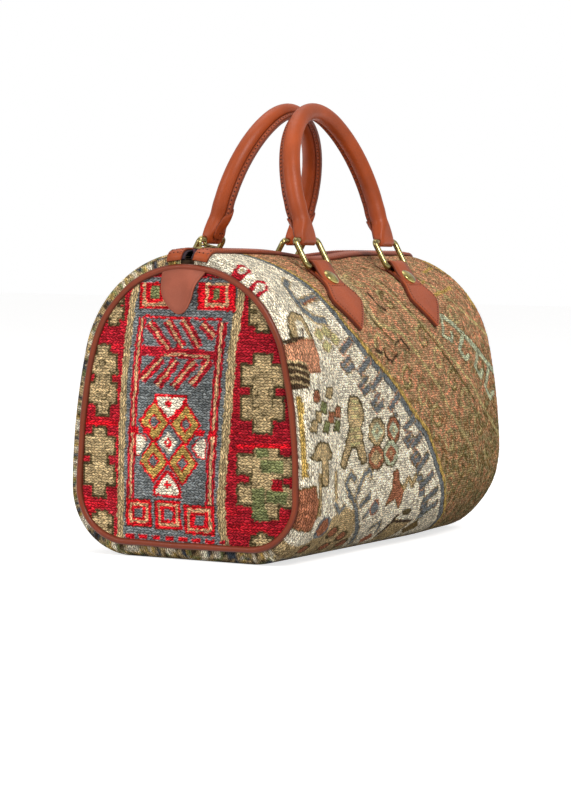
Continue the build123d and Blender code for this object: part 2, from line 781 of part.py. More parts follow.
nodes = {}
groove = piping_tube(piping_radius + seat_gap)
bores = at_fittings(rivet_axis(rivet_post_radius + seat_gap))
bores = group(bores + [mirrored_front_to_rear(bore) for bore in bores])

nodes["carpet_wrap"] = carpet_wrap(groove, bores)
near_panel = end_panel(groove)
nodes["near_end_panel"] = near_panel
nodes["far_end_panel"] = half_turn(near_panel)
nodes["near_piping"] = piping()
nodes["far_piping"] = half_turn(piping())
nodes["lining"] = lining(bores)
nodes["base_board"] = base_board()

front_tape = strip_along_zip(tape_grow, tape_thickness, chain_half_width + seat_gap, tape_outer, groove)
front_binding = strip_along_zip(binding_grow, binding_thickness, binding_inner, binding_outer, groove)
nodes["front_zip_tape"] = front_tape
nodes["rear_zip_tape"] = mirrored_front_to_rear(front_tape)
nodes["front_zip_binding"] = front_binding
nodes["rear_zip_binding"] = mirrored_front_to_rear(front_binding)
nodes["front_zip_teeth"] = group(tooth_row(0))
nodes["rear_zip_teeth"] = group([mirrored_front_to_rear(tooth) for tooth in tooth_row(tooth_pitch / 2)])
top_stop = zip_top_stop()
nodes["zip_top_stops"] = group([top_stop, mirrored_front_to_rear(top_stop)])
nodes["zip_bottom_stop"] = zip_bottom_stop()
nodes["zip_slider"] = zip_slider()
nodes["zip_pull"] = zip_pull()

near_tab = end_tab(groove)
nodes["near_end_tab"] = near_tab
nodes["far_end_tab"] = half_turn(near_tab)

for name, shape in (("ring", ring()), ("chape", chape())):
    for side, piece in zip(("left", "right"), at_fittings(shape)):
        nodes[f"front_{side}_{name}"] = piece
        nodes[f"rear_{side}_{name}"] = mirrored_front_to_rear(piece)

for name, shape in (("rivets", rivet()), ("rivet_washers", rivet_washer())):
    front_pair = at_fittings(shape)
    nodes[name] = group(front_pair + [mirrored_front_to_rear(piece) for piece in front_pair])

for name, shape in (("handle", handle_leather()), ("handle_core", handle_core())):
    nodes[f"front_{name}"] = shape
    nodes[f"rear_{name}"] = mirrored_front_to_rear(shape)

near_yarn = end_yarn(end_bands() + framed_squares() + branched_stem() + lozenge_group() + side_columns())
far_yarn = end_yarn(end_bands())
for colour, area in near_yarn.items():
    far_area = [half_turn(far_yarn[colour])] if colour in far_yarn else []
    nodes[f"end_{colour}_yarn"] = group([area] + far_area)

front_steps = front_fields(0) + far_hooks() + border_hooks() + pale_field_figures()
front_area = front_yarn(front_steps, bores)
rear_area = front_yarn(front_fields(2), bores)
for colour, area in front_area.items():
    hidden_area = [half_turn(rear_area[colour])] if colour in rear_area else []
    nodes[f"wrap_{colour}_yarn"] = group([area] + hidden_area)

os.makedirs("parts", exist_ok=True)
for name, shape in nodes.items():
    shape.label = name
    export_step(shape, f"parts/{name}.step")
    print(name, round(shape.volume), len(shape.solids()))
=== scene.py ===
"""A rounded carpet bag with leather piping, a zip and rolled handles, dressed round its CAD model."""

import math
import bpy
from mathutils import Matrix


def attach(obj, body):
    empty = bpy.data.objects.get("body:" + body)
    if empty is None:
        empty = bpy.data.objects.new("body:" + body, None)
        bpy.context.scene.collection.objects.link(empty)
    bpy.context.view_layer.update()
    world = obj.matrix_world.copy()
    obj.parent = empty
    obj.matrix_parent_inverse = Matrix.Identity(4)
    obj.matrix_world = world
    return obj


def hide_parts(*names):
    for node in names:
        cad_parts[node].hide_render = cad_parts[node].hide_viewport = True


bl_info = {
    "name": "Carpet Bag",
    "version": (1, 0, 0),
    "blender": (4, 5, 0),
    "location": "View3D > Sidebar > Carpet Bag",
    "description": "Builds a woven carpet bag with leather fittings round its packed model",
    "category": "Add Mesh",
}

import bmesh
import bpy
import numpy as np
from mathutils import Matrix, Vector
from mathutils.geometry import delaunay_2d_cdt

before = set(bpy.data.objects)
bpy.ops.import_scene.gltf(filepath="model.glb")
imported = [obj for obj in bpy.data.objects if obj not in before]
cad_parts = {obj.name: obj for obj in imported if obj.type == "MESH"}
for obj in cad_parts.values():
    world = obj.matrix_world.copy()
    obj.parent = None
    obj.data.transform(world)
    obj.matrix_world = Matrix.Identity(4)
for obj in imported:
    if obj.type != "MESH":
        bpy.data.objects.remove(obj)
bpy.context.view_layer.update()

# Sizes below are in millimetres, and meshes are written in metres
MM = 0.001
X_AXIS = np.array([1.0, 0.0, 0.0])
# Stitch coordinates start here, so that none is below zero
STITCH_START = 400.0

# The body: half lengths along the bag, then the outline of its section
SEAM_X = 171.0
STRAIGHT_HALF = 161.0
ROUNDING = 10.0
BODY_TOP = 220.0
CROWN_RADIUS = 90.0
CROWN_Z = 130.0
CROWN_ANGLE = 1.3495
SIDE_RADIUS = 459.0
SIDE_CENTRE = -360.0
CORNER_RADIUS = 49.0
CORNER_CENTRE = 50.0
CROWN_LENGTH = CROWN_RADIUS * CROWN_ANGLE
SIDE_END = CROWN_LENGTH + SIDE_RADIUS * (math.pi / 2 - CROWN_ANGLE)
CORNER_END = SIDE_END + CORNER_RADIUS * math.pi / 2
BASE_MIDDLE = CORNER_END + CORNER_CENTRE

# Chapes, rings and handles
FITTING_X = 67.0
UPPER_BAR = (-39.334, 229.501)
HANDLE_LEAN = math.radians(16.5)
HANDLE_RISE = 101.5
HANDLE_LEG = 26.0
HANDLE_CROWN = 56.5
FOLD_RADIUS = 4.11
FOOT_HALF = 11.25
FIN_DEPTH = 3.4
FIN_HALF = 1.7
FIN_START = 5.0
FIN_END = 22.0
ROLL_SIDES = 34
# Tongues at the handles' feet: place across the foot and up the leg
TONGUES = {
    "front": [(-8.2, 1.0), (8.2, 1.0), (7.0, 8.0), (4.8, 14.0), (3.6, 18.0), (0.6, 20.0), (-3.0, 18.6),
              (-4.8, 14.0), (-7.0, 8.0)],
    "rear": [(-8.6, 1.0), (8.6, 1.0), (8.0, 8.0), (7.2, 16.0), (6.4, 24.0), (5.2, 29.0), (2.6, 27.4),
             (-2.2, 21.6), (-5.6, 16.0), (-7.6, 8.0)]}


# Sizes and colours that a user would change
def length_property(name, description, millimetres):
    """A length that the user can change."""
    return bpy.props.FloatProperty(
        name=name, description=description, default=millimetres * MM, unit="LENGTH")


class CarpetBagSizes(bpy.types.PropertyGroup):
    end_stitch: length_property("End stitch", "Length of one yarn stitch on the end panels", 3.0)
    end_row: length_property("End row", "Height of one row of stitches on the end panels", 2.05)
    wrap_stitch: length_property("Wrap stitch", "Length of one yarn stitch on the wrap", 2.5)
    wrap_row: length_property("Wrap row", "Height of one row of stitches on the wrap", 1.8)
    yarn_relief: length_property("Yarn relief", "How far the yarn stands on the weave", 0.36)
    crown_sag: length_property("Crown sag", "How far the top sinks between the handles", 5.0)
    end_lean: length_property("End lean", "How far the top of the near end leans outward", 3.0)
    thread_pitch: length_property("Thread pitch", "Distance between sewing stitches", 3.2)
    handle_radius: length_property("Handle radius", "Radius of the rolled handles", 6.5)


def colour_property(name, description, rgb):
    """A colour that the user can change, given from 0 to 255."""
    return bpy.props.FloatVectorProperty(
        name=name, description=description, subtype="COLOR_GAMMA", size=3, min=0, max=1,
        default=tuple(channel / 255 for channel in rgb))


class CarpetBagColours(bpy.types.PropertyGroup):
    crimson: colour_property("Crimson", "Ground of the end panels", (176, 34, 46))
    scarlet: colour_property("Scarlet", "Bright red lines", (216, 26, 38))
    slate: colour_property("Slate", "Grey-blue yarn", (114, 118, 118))
    khaki: colour_property("Khaki", "Long bands and stepped crosses", (182, 158, 116))
    cream: colour_property("Cream", "Pale yarn", (232, 221, 197))
    straw: colour_property("Straw", "Thin pale lines of the end panels", (208, 164, 122))
    ochre: colour_property("Ochre", "Mustard yarn", (186, 154, 84))
    olive: colour_property("Olive", "Dark olive outlines", (88, 76, 50))
    green: colour_property("Green", "Moss green yarn", (122, 126, 82))
    lichen: colour_property("Lichen", "Pale yellow-green yarn", (194, 184, 130))
    salmon: colour_property("Salmon", "Front field, upper part", (198, 140, 106))
    umber: colour_property("Umber", "Front field, lower part", (112, 92, 54))
    mint: colour_property("Mint", "Pale green chain", (184, 188, 156))
    rust: colour_property("Rust", "Brown figures", (160, 102, 74))
    bark: colour_property("Bark", "Dark brown yarn", (74, 58, 42))
    navy: colour_property("Navy", "Dark blue-grey yarn", (70, 76, 84))
    leather: colour_property("Leather", "Tanned leather", (176, 78, 32))
    # The edge colour also paints the shade on the piping's flanks.
    leather_edge: colour_property("Leather edge", "Burnished leather edges", (84, 34, 18))
    # Partly painted shade: the piping's leather is a darker copy of the leather, for the shade the thin
    # piping sits in.
    piping_leather_and_shade: colour_property("Piping leather", "Darker leather of the piping", (140, 58, 27))
    # Partly painted sheen: the tab's leather is a pinker, greyer copy of the leather, for the sheen on the
    # tab.
    tab_leather_and_sheen: colour_property("Tab leather", "Pinker leather of the end tabs", (172, 92, 68))
    brass: colour_property("Brass", "Antique brass", (180, 165, 108))
    # Partly painted light: the rivets' brass is a lighter copy of the brass, for the front light on their
    # domes.
    lit_rivet_brass: colour_property("Rivet brass", "Brighter brass of the rivets", (196, 180, 112))
    zip_cloth: colour_property("Zip cloth", "Tape and teeth of the zip", (44, 24, 34))


def size_of(name):
    """A size that the user can change, in millimetres."""
    return getattr(bpy.context.scene.carpet_bag_sizes, name) / MM


def colours():
    """The colours that the user can change."""
    return bpy.context.scene.carpet_bag_colours


def linear(rgb):
    """Display colour to scene colour."""
    value = np.asarray(rgb, float)
    return np.where(value <= 0.04045, value / 12.92, ((value + 0.055) / 1.055) ** 2.4)


# The bag's form
def ease(value):
    """0 below 0, 1 above 1 and a smooth step between."""
    value = np.clip(value, 0.0, 1.0)
    return value * value * (3 - 2 * value)


def outline(distance):
    """Y and Z of the outer outline and of its normal, by distance from the crown's middle to the front."""
    distance = np.asarray(distance, float)
    side = np.where(distance < 0, 1.0, -1.0)
    d = np.abs(distance)
    zones = [d < CROWN_LENGTH, d < SIDE_END, d < CORNER_END]
    angle = np.select(
        zones,
        [d / CROWN_RADIUS, CROWN_ANGLE + (d - CROWN_LENGTH) / SIDE_RADIUS,
         math.pi / 2 + (d - SIDE_END) / CORNER_RADIUS],
        math.pi)
    radius = np.select(zones, [CROWN_RADIUS, SIDE_RADIUS, CORNER_RADIUS], CORNER_RADIUS)
    centre = np.select(zones, [0.0 * d, SIDE_CENTRE + 0 * d, CORNER_CENTRE + 0 * d],
                       CORNER_CENTRE - (d - CORNER_END))
    centre_z = np.select(zones, [CROWN_Z, CORNER_RADIUS, CORNER_RADIUS], CORNER_RADIUS)
    across, up = np.sin(angle), np.cos(angle)
    return side * (centre + radius * across), centre_z + radius * up, side * across, up


def soften(points):
    """The soft bag's own shape: a sunk crown, a leaning near end and a fuller far corner."""
    points = np.array(points, float)
    x, y, z = points[..., 0], points[..., 1], points[..., 2]
    top = ease((z - 160) / 50) * ease((66 - np.abs(y)) / 40)
    points[..., 2] = z - size_of("crown_sag") * np.exp(-((x / 48) ** 2)) * top
    near = ease((-x - 100) / 71)
    points[..., 0] = x - size_of("end_lean") * near * (np.clip(z, 0, BODY_TOP) / BODY_TOP) ** 1.6
    far = ease((x - 60) / 111) * ease((70 - z) / 70)
    points[..., 1] = y * (1 - 0.12 * far)
    puff = ease((175 - z) / 40) * ease(z / 30) * ease((150 - np.abs(x)) / 40)
    wave = 1.1 * np.sin(x / 41 + 0.7) * np.sin(z / 29 + 0.4) + 0.6 * np.sin(x / 19 + z / 26)
    points[..., 1] += np.sign(y) * puff * wave * ease(np.abs(y) / 60)
    points[..., 2] = np.maximum(points[..., 2], 0.0)
    return points


def surface(x, distance, out=0.0):
    """Place on the carpet by distance along the bag and down from the crown, raised outward."""
    x = np.asarray(x, float)
    y, z, across, up = outline(distance)
    over = np.clip((np.abs(x) - STRAIGHT_HALF) / ROUNDING, 0, 1)
    grow = np.sqrt(1 - over**2)
    inset = ROUNDING * (1 - grow)
    points = np.stack([
        x + np.sign(x) * over * out,
        y - across * inset + across * grow * out,
        z - up * inset + up * grow * out], axis=-1)
    return soften(points)


def seam_outline(count, inset):
    """Points of the end seam, moved inside it, as Y and Z, with the outward normals."""
    distance = np.linspace(-BASE_MIDDLE, BASE_MIDDLE, count, endpoint=False)
    y, z, across, up = outline(distance)
    shift = ROUNDING + inset
    return y - across * shift, z - up * shift, across, up


# Meshes
def placed_object(name, mesh):
    """Puts a mesh in the scene, its object left at the origin."""
    thing = bpy.data.objects.new(name, mesh)
    bpy.context.scene.collection.objects.link(thing)
    return thing


def mesh_object(name, points, faces, material, smooth=True):
    """A mesh from millimetre points."""
    mesh = bpy.data.meshes.new(name)
    mesh.from_pydata((np.asarray(points) * MM).tolist(), [], [list(face) for face in faces])
    mesh.validate()
    mesh.update()
    if material:
        mesh.materials.append(material)
    if smooth:
        mesh.shade_smooth()
    else:
        mesh.shade_flat()
    return placed_object(name, mesh)


def smooth_by_angle(thing, degrees):
    """Keeps an object's edges sharp where they turn more than an angle."""
    thing.data.set_sharp_from_angle(angle=math.radians(degrees))


def store_values(thing, name, values):
    """Keeps one value for each point of a mesh."""
    layer = thing.data.attributes.new(name, "FLOAT", "POINT")
    layer.data.foreach_set("value", np.asarray(values, np.float32))


def tube_faces(rings, sides, closed):
    """Quads between rings of points, each ring closed on itself."""
    last = rings if closed else rings - 1
    faces = []
    for i in range(last):
        j = (i + 1) % rings
        for k in range(sides):
            n = (k + 1) % sides
            faces.append((i * sides + k, j * sides + k, j * sides + n, i * sides + n))
    if not closed:
        faces.append(tuple(range(sides)))
        faces.append(tuple((rings - 1) * sides + k for k in reversed(range(sides))))
    return faces


def recalculated(thing):
    """Turns the faces of a closed mesh outward."""
    work = bmesh.new()
    work.from_mesh(thing.data)
    bmesh.ops.recalc_face_normals(work, faces=work.faces)
    work.to_mesh(thing.data)
    work.free()
    return thing


def travelled(points):
    """Distance along a line at each of its points."""
    return np.concatenate([[0], np.cumsum(np.linalg.norm(np.diff(points, axis=0), axis=1))])


def at_distances(line, values, distances):
    """Values given at a line's points, read at other distances along it."""
    travel = travelled(line)
    return np.stack([np.interp(distances, travel, column) for column in values.T], axis=1)


def resampled(corners, spacing):
    """Points at even steps round a closed line of corners."""
    corners = np.asarray(corners, float)
    loop = np.vstack([corners, corners[:1]])
    length = travelled(loop)[-1]
    count = max(3, int(round(length / spacing)))
    return at_distances(loop, loop, np.linspace(0, length, count, endpoint=False))


def rounded(corners, times=2, closed=True):
    """Cuts the corners of a line again and again, which rounds it."""
    points = np.asarray(corners, float)
    for _ in range(times):
        following = np.roll(points, -1, axis=0) if closed else points[1:]
        first = points if closed else points[:-1]
        cut = np.stack([0.75 * first + 0.25 * following, 0.25 * first + 0.75 * following], axis=1)
        cut = cut.reshape(-1, points.shape[1])
        points = cut if closed else np.vstack([points[:1], cut, points[-1:]])
    return points


def loop_normals(loop):
    """Outward normals of a closed loop drawn against the clock."""
    tangent = np.roll(loop, -1, axis=0) - np.roll(loop, 1, axis=0)
    tangent /= np.linalg.norm(tangent, axis=1)[:, None] + 1e-9
    return np.stack([tangent[:, 1], -tangent[:, 0]], axis=1)


def signed_area(shape):
    """Area of an outline, positive where it is drawn against the clock."""
    following = np.roll(shape, -1, axis=0)
    return 0.5 * np.sum(shape[:, 0] * following[:, 1] - following[:, 0] * shape[:, 1])


def filled(ring, first, height, spacing, grid, start):
    """Points inside a flat ring, and the triangles that fill it."""
    count = len(ring)
    inner = ring - loop_normals(ring) * spacing * 0.6
    keep = grid[within(grid[:, 0], grid[:, 1], inner)]
    cloud = [Vector(p) for p in ring] + [Vector(p) for p in keep]
    edges = [(k, (k + 1) % count) for k in range(count)]
    found, _, triangles, origins, _, _ = delaunay_2d_cdt(cloud, edges, [], 1, 1e-5)
    extra, index = [], []
    for spot, origin in zip(found, origins):
        own = [o for o in origin if o < count]
        if own:
            index.append(first + own[0])
        else:
            index.append(start + len(extra))
            extra.append((spot.x, spot.y, height))
    return extra, [tuple(index[i] for i in triangle) for triangle in triangles]


def plate(name, shape, wall, spacing, place, material):
    """A cut piece of leather: an outline, its edge as insets and heights, and a map to its place."""
    shape = np.asarray(shape, float)
    if signed_area(shape) < 0:
        shape = shape[::-1]
    normals = loop_normals(shape)
    count = len(shape)
    flat = [np.column_stack([shape - normals * inset, np.full(count, height)]) for inset, height in wall]
    points = np.vstack(flat)
    faces = []
    for i in range(len(wall) - 1):
        for k in range(count):
            n = (k + 1) % count
            faces.append((i * count + k, i * count + n, (i + 1) * count + n, (i + 1) * count + k))
    low, high = shape.min(0), shape.max(0)
    columns, rows = np.meshgrid(np.arange(low[0], high[0], spacing), np.arange(low[1], high[1], spacing))
    grid = np.stack([columns, rows], axis=-1).reshape(-1, 2)
    inner_ring = (len(wall) - 1) * count
    for first, level, turned in ((0, 0, True), (inner_ring, -1, False)):
        extra, triangles = filled(flat[level][:, :2], first, wall[level][1], spacing, grid, len(points))
        if extra:
            points = np.vstack([points, extra])
        faces += [triangle[::-1] if turned else triangle for triangle in triangles]
    thing = recalculated(mesh_object(name, place(points[:, 0], points[:, 1], points[:, 2]), faces, material))
    wear = np.zeros(len(points), np.float32)
    side = np.arange(len(points)) < count * len(wall)
    wear[side] = np.clip(1.6 * (1 - points[side, 2] / wall[-1][1]), 0, 1)
    wear[inner_ring:inner_ring + count] = 0.25
    store_values(thing, "edge_wear_and_shade", wear)
    return thing


def swept(name, path, sections, material, closed=False):
    """Rings of points carried along a path: each section gives offsets along two directions."""
    points = [np.asarray(origin, float) + np.outer(section[:, 0], first) + np.outer(section[:, 1], second)
              for (origin, first, second), section in zip(path, sections)]
    faces = tube_faces(len(sections), len(sections[0]), closed)
    return recalculated(mesh_object(name, np.vstack(points), faces, material))


def circle(radius, sides):
    """Points round a circle."""
    turn = np.linspace(0, 2 * math.pi, sides, endpoint=False)
    return np.column_stack([radius * np.cos(turn), radius * np.sin(turn)])


# Patterns as polygons
def within(u, v, polygon):
    """Which places lie inside a polygon."""
    u, v = np.asarray(u, float), np.asarray(v, float)
    polygon = np.asarray(polygon, float)
    low, high = polygon.min(0), polygon.max(0)
    inside = (u >= low[0]) & (u <= high[0]) & (v >= low[1]) & (v <= high[1])
    x, y = u[inside], v[inside]
    odd = np.zeros(x.shape, bool)
    for (u1, v1), (u2, v2) in zip(polygon, np.roll(polygon, -1, axis=0)):
        if v1 != v2:
            odd ^= ((v1 > y) != (v2 > y)) & (x < (u2 - u1) * (y - v1) / (v2 - v1) + u1)
    inside[inside] = odd
    return inside


def stripe(points, width, shift=0.0):
    """Corners of a band along a bent line."""
    points = np.asarray(points, float)
    before = np.vstack([points[:1], points[:-1]])
    after = np.vstack([points[1:], points[-1:]])
    direction = after - before
    direction /= np.linalg.norm(direction, axis=1)[:, None]
    normal = np.column_stack([-direction[:, 1], direction[:, 0]])
    return np.vstack([points + normal * (shift - width / 2), (points + normal * (shift + width / 2))[::-1]])


def box(u, v, half_width, half_height):
    """An upright rectangle round a place."""
    return [(u - half_width, v - half_height), (u + half_width, v - half_height),
            (u + half_width, v + half_height), (u - half_width, v + half_height)]


def lozenge(u, v, half_width, half_height):
    """A square on its point, round a place."""
    return [(u - half_width, v), (u, v - half_height), (u + half_width, v), (u, v + half_height)]


def stepped_cross(u, v, width, height):
    """The upright figure with two pairs of square arms."""
    right = [(0.2, 0.5), (0.2, 0.36), (0.5, 0.36), (0.5, 0.12), (0.26, 0.12),
             (0.26, -0.06), (0.5, -0.06), (0.5, -0.32), (0.2, -0.32), (0.2, -0.5)]
    left = [(-across, up) for across, up in reversed(right)]
    return [(u + across * width, v + up * height) for across, up in right + left]


PALETTE = ("crimson", "scarlet", "slate", "khaki", "cream", "straw", "ochre", "olive", "green", "lichen",
           "salmon", "umber", "mint", "rust", "bark", "navy")


def painted(u, v, ground, layers):
    """The palette number at each place: later layers cover earlier ones, an outline lies round its fill."""
    index = np.full(np.shape(u), PALETTE.index(ground))
    for colour, polygon, *edge in layers:
        if edge:
            edge_colour, reach = edge
            near = np.zeros(np.shape(u), bool)
            for a in (-reach, 0, reach):
                for b in (-reach, 0, reach):
                    near |= within(u + a, v + b, polygon)
            index[near] = PALETTE.index(edge_colour)
        index[within(u, v, polygon)] = PALETTE.index(colour)
    return index


def soft_noise(u, v, size, seed):
    """Smooth noise from 0 to 1 at a given grain."""
    lattice = np.random.default_rng(seed).random((256, 256))
    a, b = np.asarray(u) / size + 60, np.asarray(v) / size + 60
    i, j = np.floor(a).astype(int), np.floor(b).astype(int)
    s, t = ease(a - i), ease(b - j)
    i, j = i % 255, j % 255
    low = lattice[i, j] * (1 - s) + lattice[i + 1, j] * s
    high = lattice[i, j + 1] * (1 - s) + lattice[i + 1, j + 1] * s
    return low * (1 - t) + high * t


def palette_colours(index, u, v, seed, unevenness):
    """Linear colour of each place with the unevenness of hand-dyed wool."""
    table = np.array([linear(getattr(colours(), name)) for name in PALETTE])
    rng = np.random.default_rng(seed)
    base = table[index]
    value = 1 + unevenness * (rng.random(np.shape(index)) - 0.5) * 2
    value *= 0.86 + 0.28 * soft_noise(u, v, 7.0, seed + 1)
    value *= 0.88 + 0.24 * soft_noise(u * 0.16, v, 2.3, seed + 2)
    warmth = 1 + 0.1 * (rng.random(np.shape(index)) - 0.5)
    tint = np.stack([value * warmth, value, value / warmth], axis=-1)
    return np.clip(base * tint, 0, 1)


# End panel pattern: place right of the middle seen from outside, and height
LEFT_LINE = [(-40.0, 200), (-42.6, 190), (-44.6, 180), (-48.2, 152), (-51.0, 122), (-52.0, 92), (-53.6, 42),
             (-54.0, 8)]
RIGHT_LINE = [(46.0, 204), (44.6, 196), (42.4, 180), (37.6, 152), (34.4, 112), (31.2, 72), (29.0, 42),
              (30.4, 22), (34.0, 8)]
LEFT_COLUMN = [(-36.0, 172), (-39.4, 146), (-42.2, 112), (-43.6, 82), (-45.2, 52), (-46.4, 24)]
RIGHT_COLUMN = [(30.2, 171), (26.8, 142), (24.2, 112), (21.8, 82), (20.6, 52), (19.6, 24)]
# Khaki bands with their width, and striped columns with the widths of their two yarns
BANDS = ((LEFT_LINE, 5.4), (RIGHT_LINE, 6.4))
COLUMNS = ((LEFT_COLUMN, 6.4, 1.9), (RIGHT_COLUMN, 7.0, 2.2))
BRANCHES = [[(-30, 169), (-14, 151)], [(-15, 171), (-2, 152)], [(-2, 172), (12, 152)], [(14, 169), (24, 160)],
            [(-19, 144), (-36, 128)], [(-7, 143), (-23, 124)], [(8, 143), (-10, 124)], [(20, 144), (5, 126)]]
EYES = [(-24.8, 98.4), (0.6, 97.4), (-25.6, 70.4), (-1.6, 69.6)]
# Stepped crosses: place, width and height
CROSSES = [(61.4, 121.5, 31, 53), (-69.0, 126.6, 22, 49), (-71.6, 67.6, 24, 49), (61, 178, 19, 24),
           (61.6, 15, 15, 15), (-60, 180, 14, 25), (-69, 20, 16, 22)]
# Patches of another yarn on the crosses: yarn, place, half width and half height
PATCHES = [("green", 61.4, 81, 4.4, 4.4), ("green", 69, 71, 9, 4.6), ("green", 58.6, 45, 5.2, 10),
           ("green", 73, 49.6, 8, 4.4), ("green", 61, 36, 5.4, 4), ("crimson", 73, 58, 4.4, 4),
           ("crimson", 87, 60, 4, 4), ("green", 88, 70, 4, 5), ("crimson", 88, 122, 3, 4)]


def triple(line, crimson_width, pale_width):
    """A straw line between two crimson ones."""
    return [("crimson", stripe(line, crimson_width)), ("straw", stripe(line, pale_width))]


def framed(u, v, half_width, half_height, pale, line, heart, core):
    """A scarlet square with a pale frame in it and a coloured heart."""
    pale_width, pale_height = pale
    return [("scarlet", box(u, v, half_width, half_height), "bark", 0.7),
            ("straw", box(u, v, pale_width, pale_height)),
            ("scarlet", box(u, v, pale_width - line, pale_height - line)),
            (heart, box(u, v, *core))]


def drawn(colour, width, lines, *edge):
    """Bent lines of one colour and width, each with the same outline if one is given."""
    return [(colour, stripe(line, width), *edge) for line in lines]


def end_bands():
    """The slate panel of an end, with the long bands and columns that edge it."""
    layers = [("slate", LEFT_LINE + RIGHT_LINE[::-1])]
    layers += [("khaki", stripe(line, width)) for line, width in BANDS]
    for line, crimson_width, pale_width in COLUMNS:
        layers += triple(line, crimson_width, pale_width)
    return layers


def end_boxes():
    """The framed squares at the head and the foot of the panel."""
    layers = [("crimson", box(u, 14.8, 2.2, 1.6)) for u in (-44.4, 30.0)]
    layers += framed(-25.7, 190.5, 12.6, 12.4, (9.9, 9.9), 2.5, "green", (3.5, 4.5))
    layers += framed(24.5, 190.0, 14.9, 12.0, (9.1, 8.5), 2.3, "green", (3.2, 3.7))
    layers += [("slate", box(-2, 199.6, 40, 1.6)), ("slate", box(0, 176.2, 37, 2.4))]
    layers += framed(-38.4, 32.5, 10.4, 9.6, (7.6, 7.2), 2.0, "slate", (3.4, 3.0))
    layers += framed(-13.8, 32.2, 11.2, 10.2, (8.4, 8.0), 2.0, "slate", (3.8, 3.5))
    layers += framed(11.7, 29.8, 12.3, 10.2, (9.7, 8.2), 2.2, "slate", (3.8, 3.5))
    return layers + drawn("slate", 1.8, [[(-27.2, 46), (-26.0, 22)], [(-3.2, 46), (-1.6, 20)]])


def end_branches():
    """The slanting branches in the upper half of the panel."""
    layers = drawn("scarlet", 1.8, [[(-36, 173.2), (30, 172.4)]])
    layers.append(("slate", [(-35, 167), (-28, 158), (-22, 150), (-35, 151)]))
    layers += drawn("crimson", 8.0, BRANCHES)
    layers += drawn("crimson", 7.0, [[(-37, 149.0), (-20, 148.6), (25, 147)]])
    layers += drawn("straw", 2.0, BRANCHES)
    layers += drawn("straw", 1.6, [[(-17, 145.6), (-9, 147.4), (20, 146)]])
    upper = [[(a + 6.6, b + 0.6), (c + 6.6, d + 3.0)] for (a, b), (c, d) in BRANCHES[:3]]
    lower = [[(a + 5.4, b - 3.4), (c + 6.0, d - 1.6)] for (a, b), (c, d) in BRANCHES[4:7]]
    return layers + drawn("slate", 2.4, upper + lower)


def end_medallion():
    """The four ochre lozenges in the middle, with the pale fans round them."""
    layers = [("scarlet", lozenge(u, v, 13.0, 16.6)) for u, v in EYES]
    layers += [
        ("cream", [(-22.6, 116.6), (-0.8, 116.0), (-2.6, 111), (-13.0, 101.5), (-21.6, 111)], "scarlet", 2.2),
        ("cream", [(-24.4, 47.2), (-3.6, 47.0), (-6.4, 53), (-13.6, 62.4), (-21.4, 53)], "scarlet", 2.2)]
    for colour, wide, high in (("ochre", 10.6, 13.6), ("scarlet", 5.4, 6.4), ("slate", 3.5, 4.2)):
        layers += [(colour, lozenge(u, v, wide, high)) for u, v in EYES]
    layers.append(("cream", lozenge(-13.4, 83.8, 7.4, 8.4)))
    for u, v in ((-13.2, 112.0), (-14.0, 53.6)):
        layers += [("scarlet", box(u, v, 3.2, 1.1)), ("scarlet", box(u, v, 1.1, 3.0))]
    layers += [("scarlet", lozenge(-13.4, 83.8, 3.8, 4.4)), ("cream", lozenge(-13.4, 83.8, 1.5, 1.8)),
               ("cream", [(-39.6, 89), (-40.4, 74), (-35, 75), (-29.4, 81), (-34, 88)], "scarlet", 0.9),
               ("cream", [(16.6, 88), (16.4, 74), (11, 76), (6.4, 81), (11, 87)], "scarlet", 0.9)]
    layers += [("scarlet", box(u, 92.0, 3.0, 2.2)) for u in (-41, -31, 12.4, 22)]
    return layers + drawn("slate", 1.6, [[(-29, 86), (-38, 70)], [(18, 90), (2, 82), (12, 70)]])


def end_crosses():
    """The stepped crosses on the crimson borders, with the patches woven into them."""
    layers = [("khaki", stepped_cross(*cross), "olive", 2.0) for cross in CROSSES]
    for u, v, width, height in CROSSES[:2]:
        layers.append(("khaki", stepped_cross(u, v, width * 0.5, height * 0.56), "olive", 0.6))
    layers += [("khaki", stepped_cross(64.6, 59.6, 43, 49), "olive", 2.0),
               ("khaki", stepped_cross(64.6, 59.6, 22, 28), "olive", 0.6)]
    layers += [(colour, box(*place)) for colour, *place in PATCHES]
    layers += drawn("scarlet", 3.4, [[(-90, 95.6), (-56, 95.2)]])
    layers += drawn("scarlet", 2.8, [[(41, 84), (90, 86)]])
    return layers + [("scarlet", box(u, 15.2, 3.4, 1.6)) for u in range(-46, 28, 11)]


def end_pattern():
    """Layers of the near end panel, from the ground up."""
    return end_bands() + end_boxes() + end_branches() + end_medallion() + end_crosses()


def end_turned(u, v):
    """The long bands are worked upright."""
    found = np.zeros(np.shape(u), bool)
    for line, width, *_ in BANDS + COLUMNS:
        found |= within(u, v, stripe(line, width))
    return found


# Front pattern: place along the bag and distance down from the crown's middle
BORDER = [(-130.0, 5.0), (-127.0, 17.6), (-117.5, 43.8), (-105.0, 70.0), (-99.0, 85.0), (-89.0, 102.5),
          (-76.0, 116.0), (-59.0, 130.0), (-39.0, 142.5), (-21.0, 153.8), (1.3, 172.5), (23.8, 187.5),
          (36.0, 205.0), (48.8, 225.0), (61.0, 245.0), (73.8, 257.5), (88.0, 290.0)]
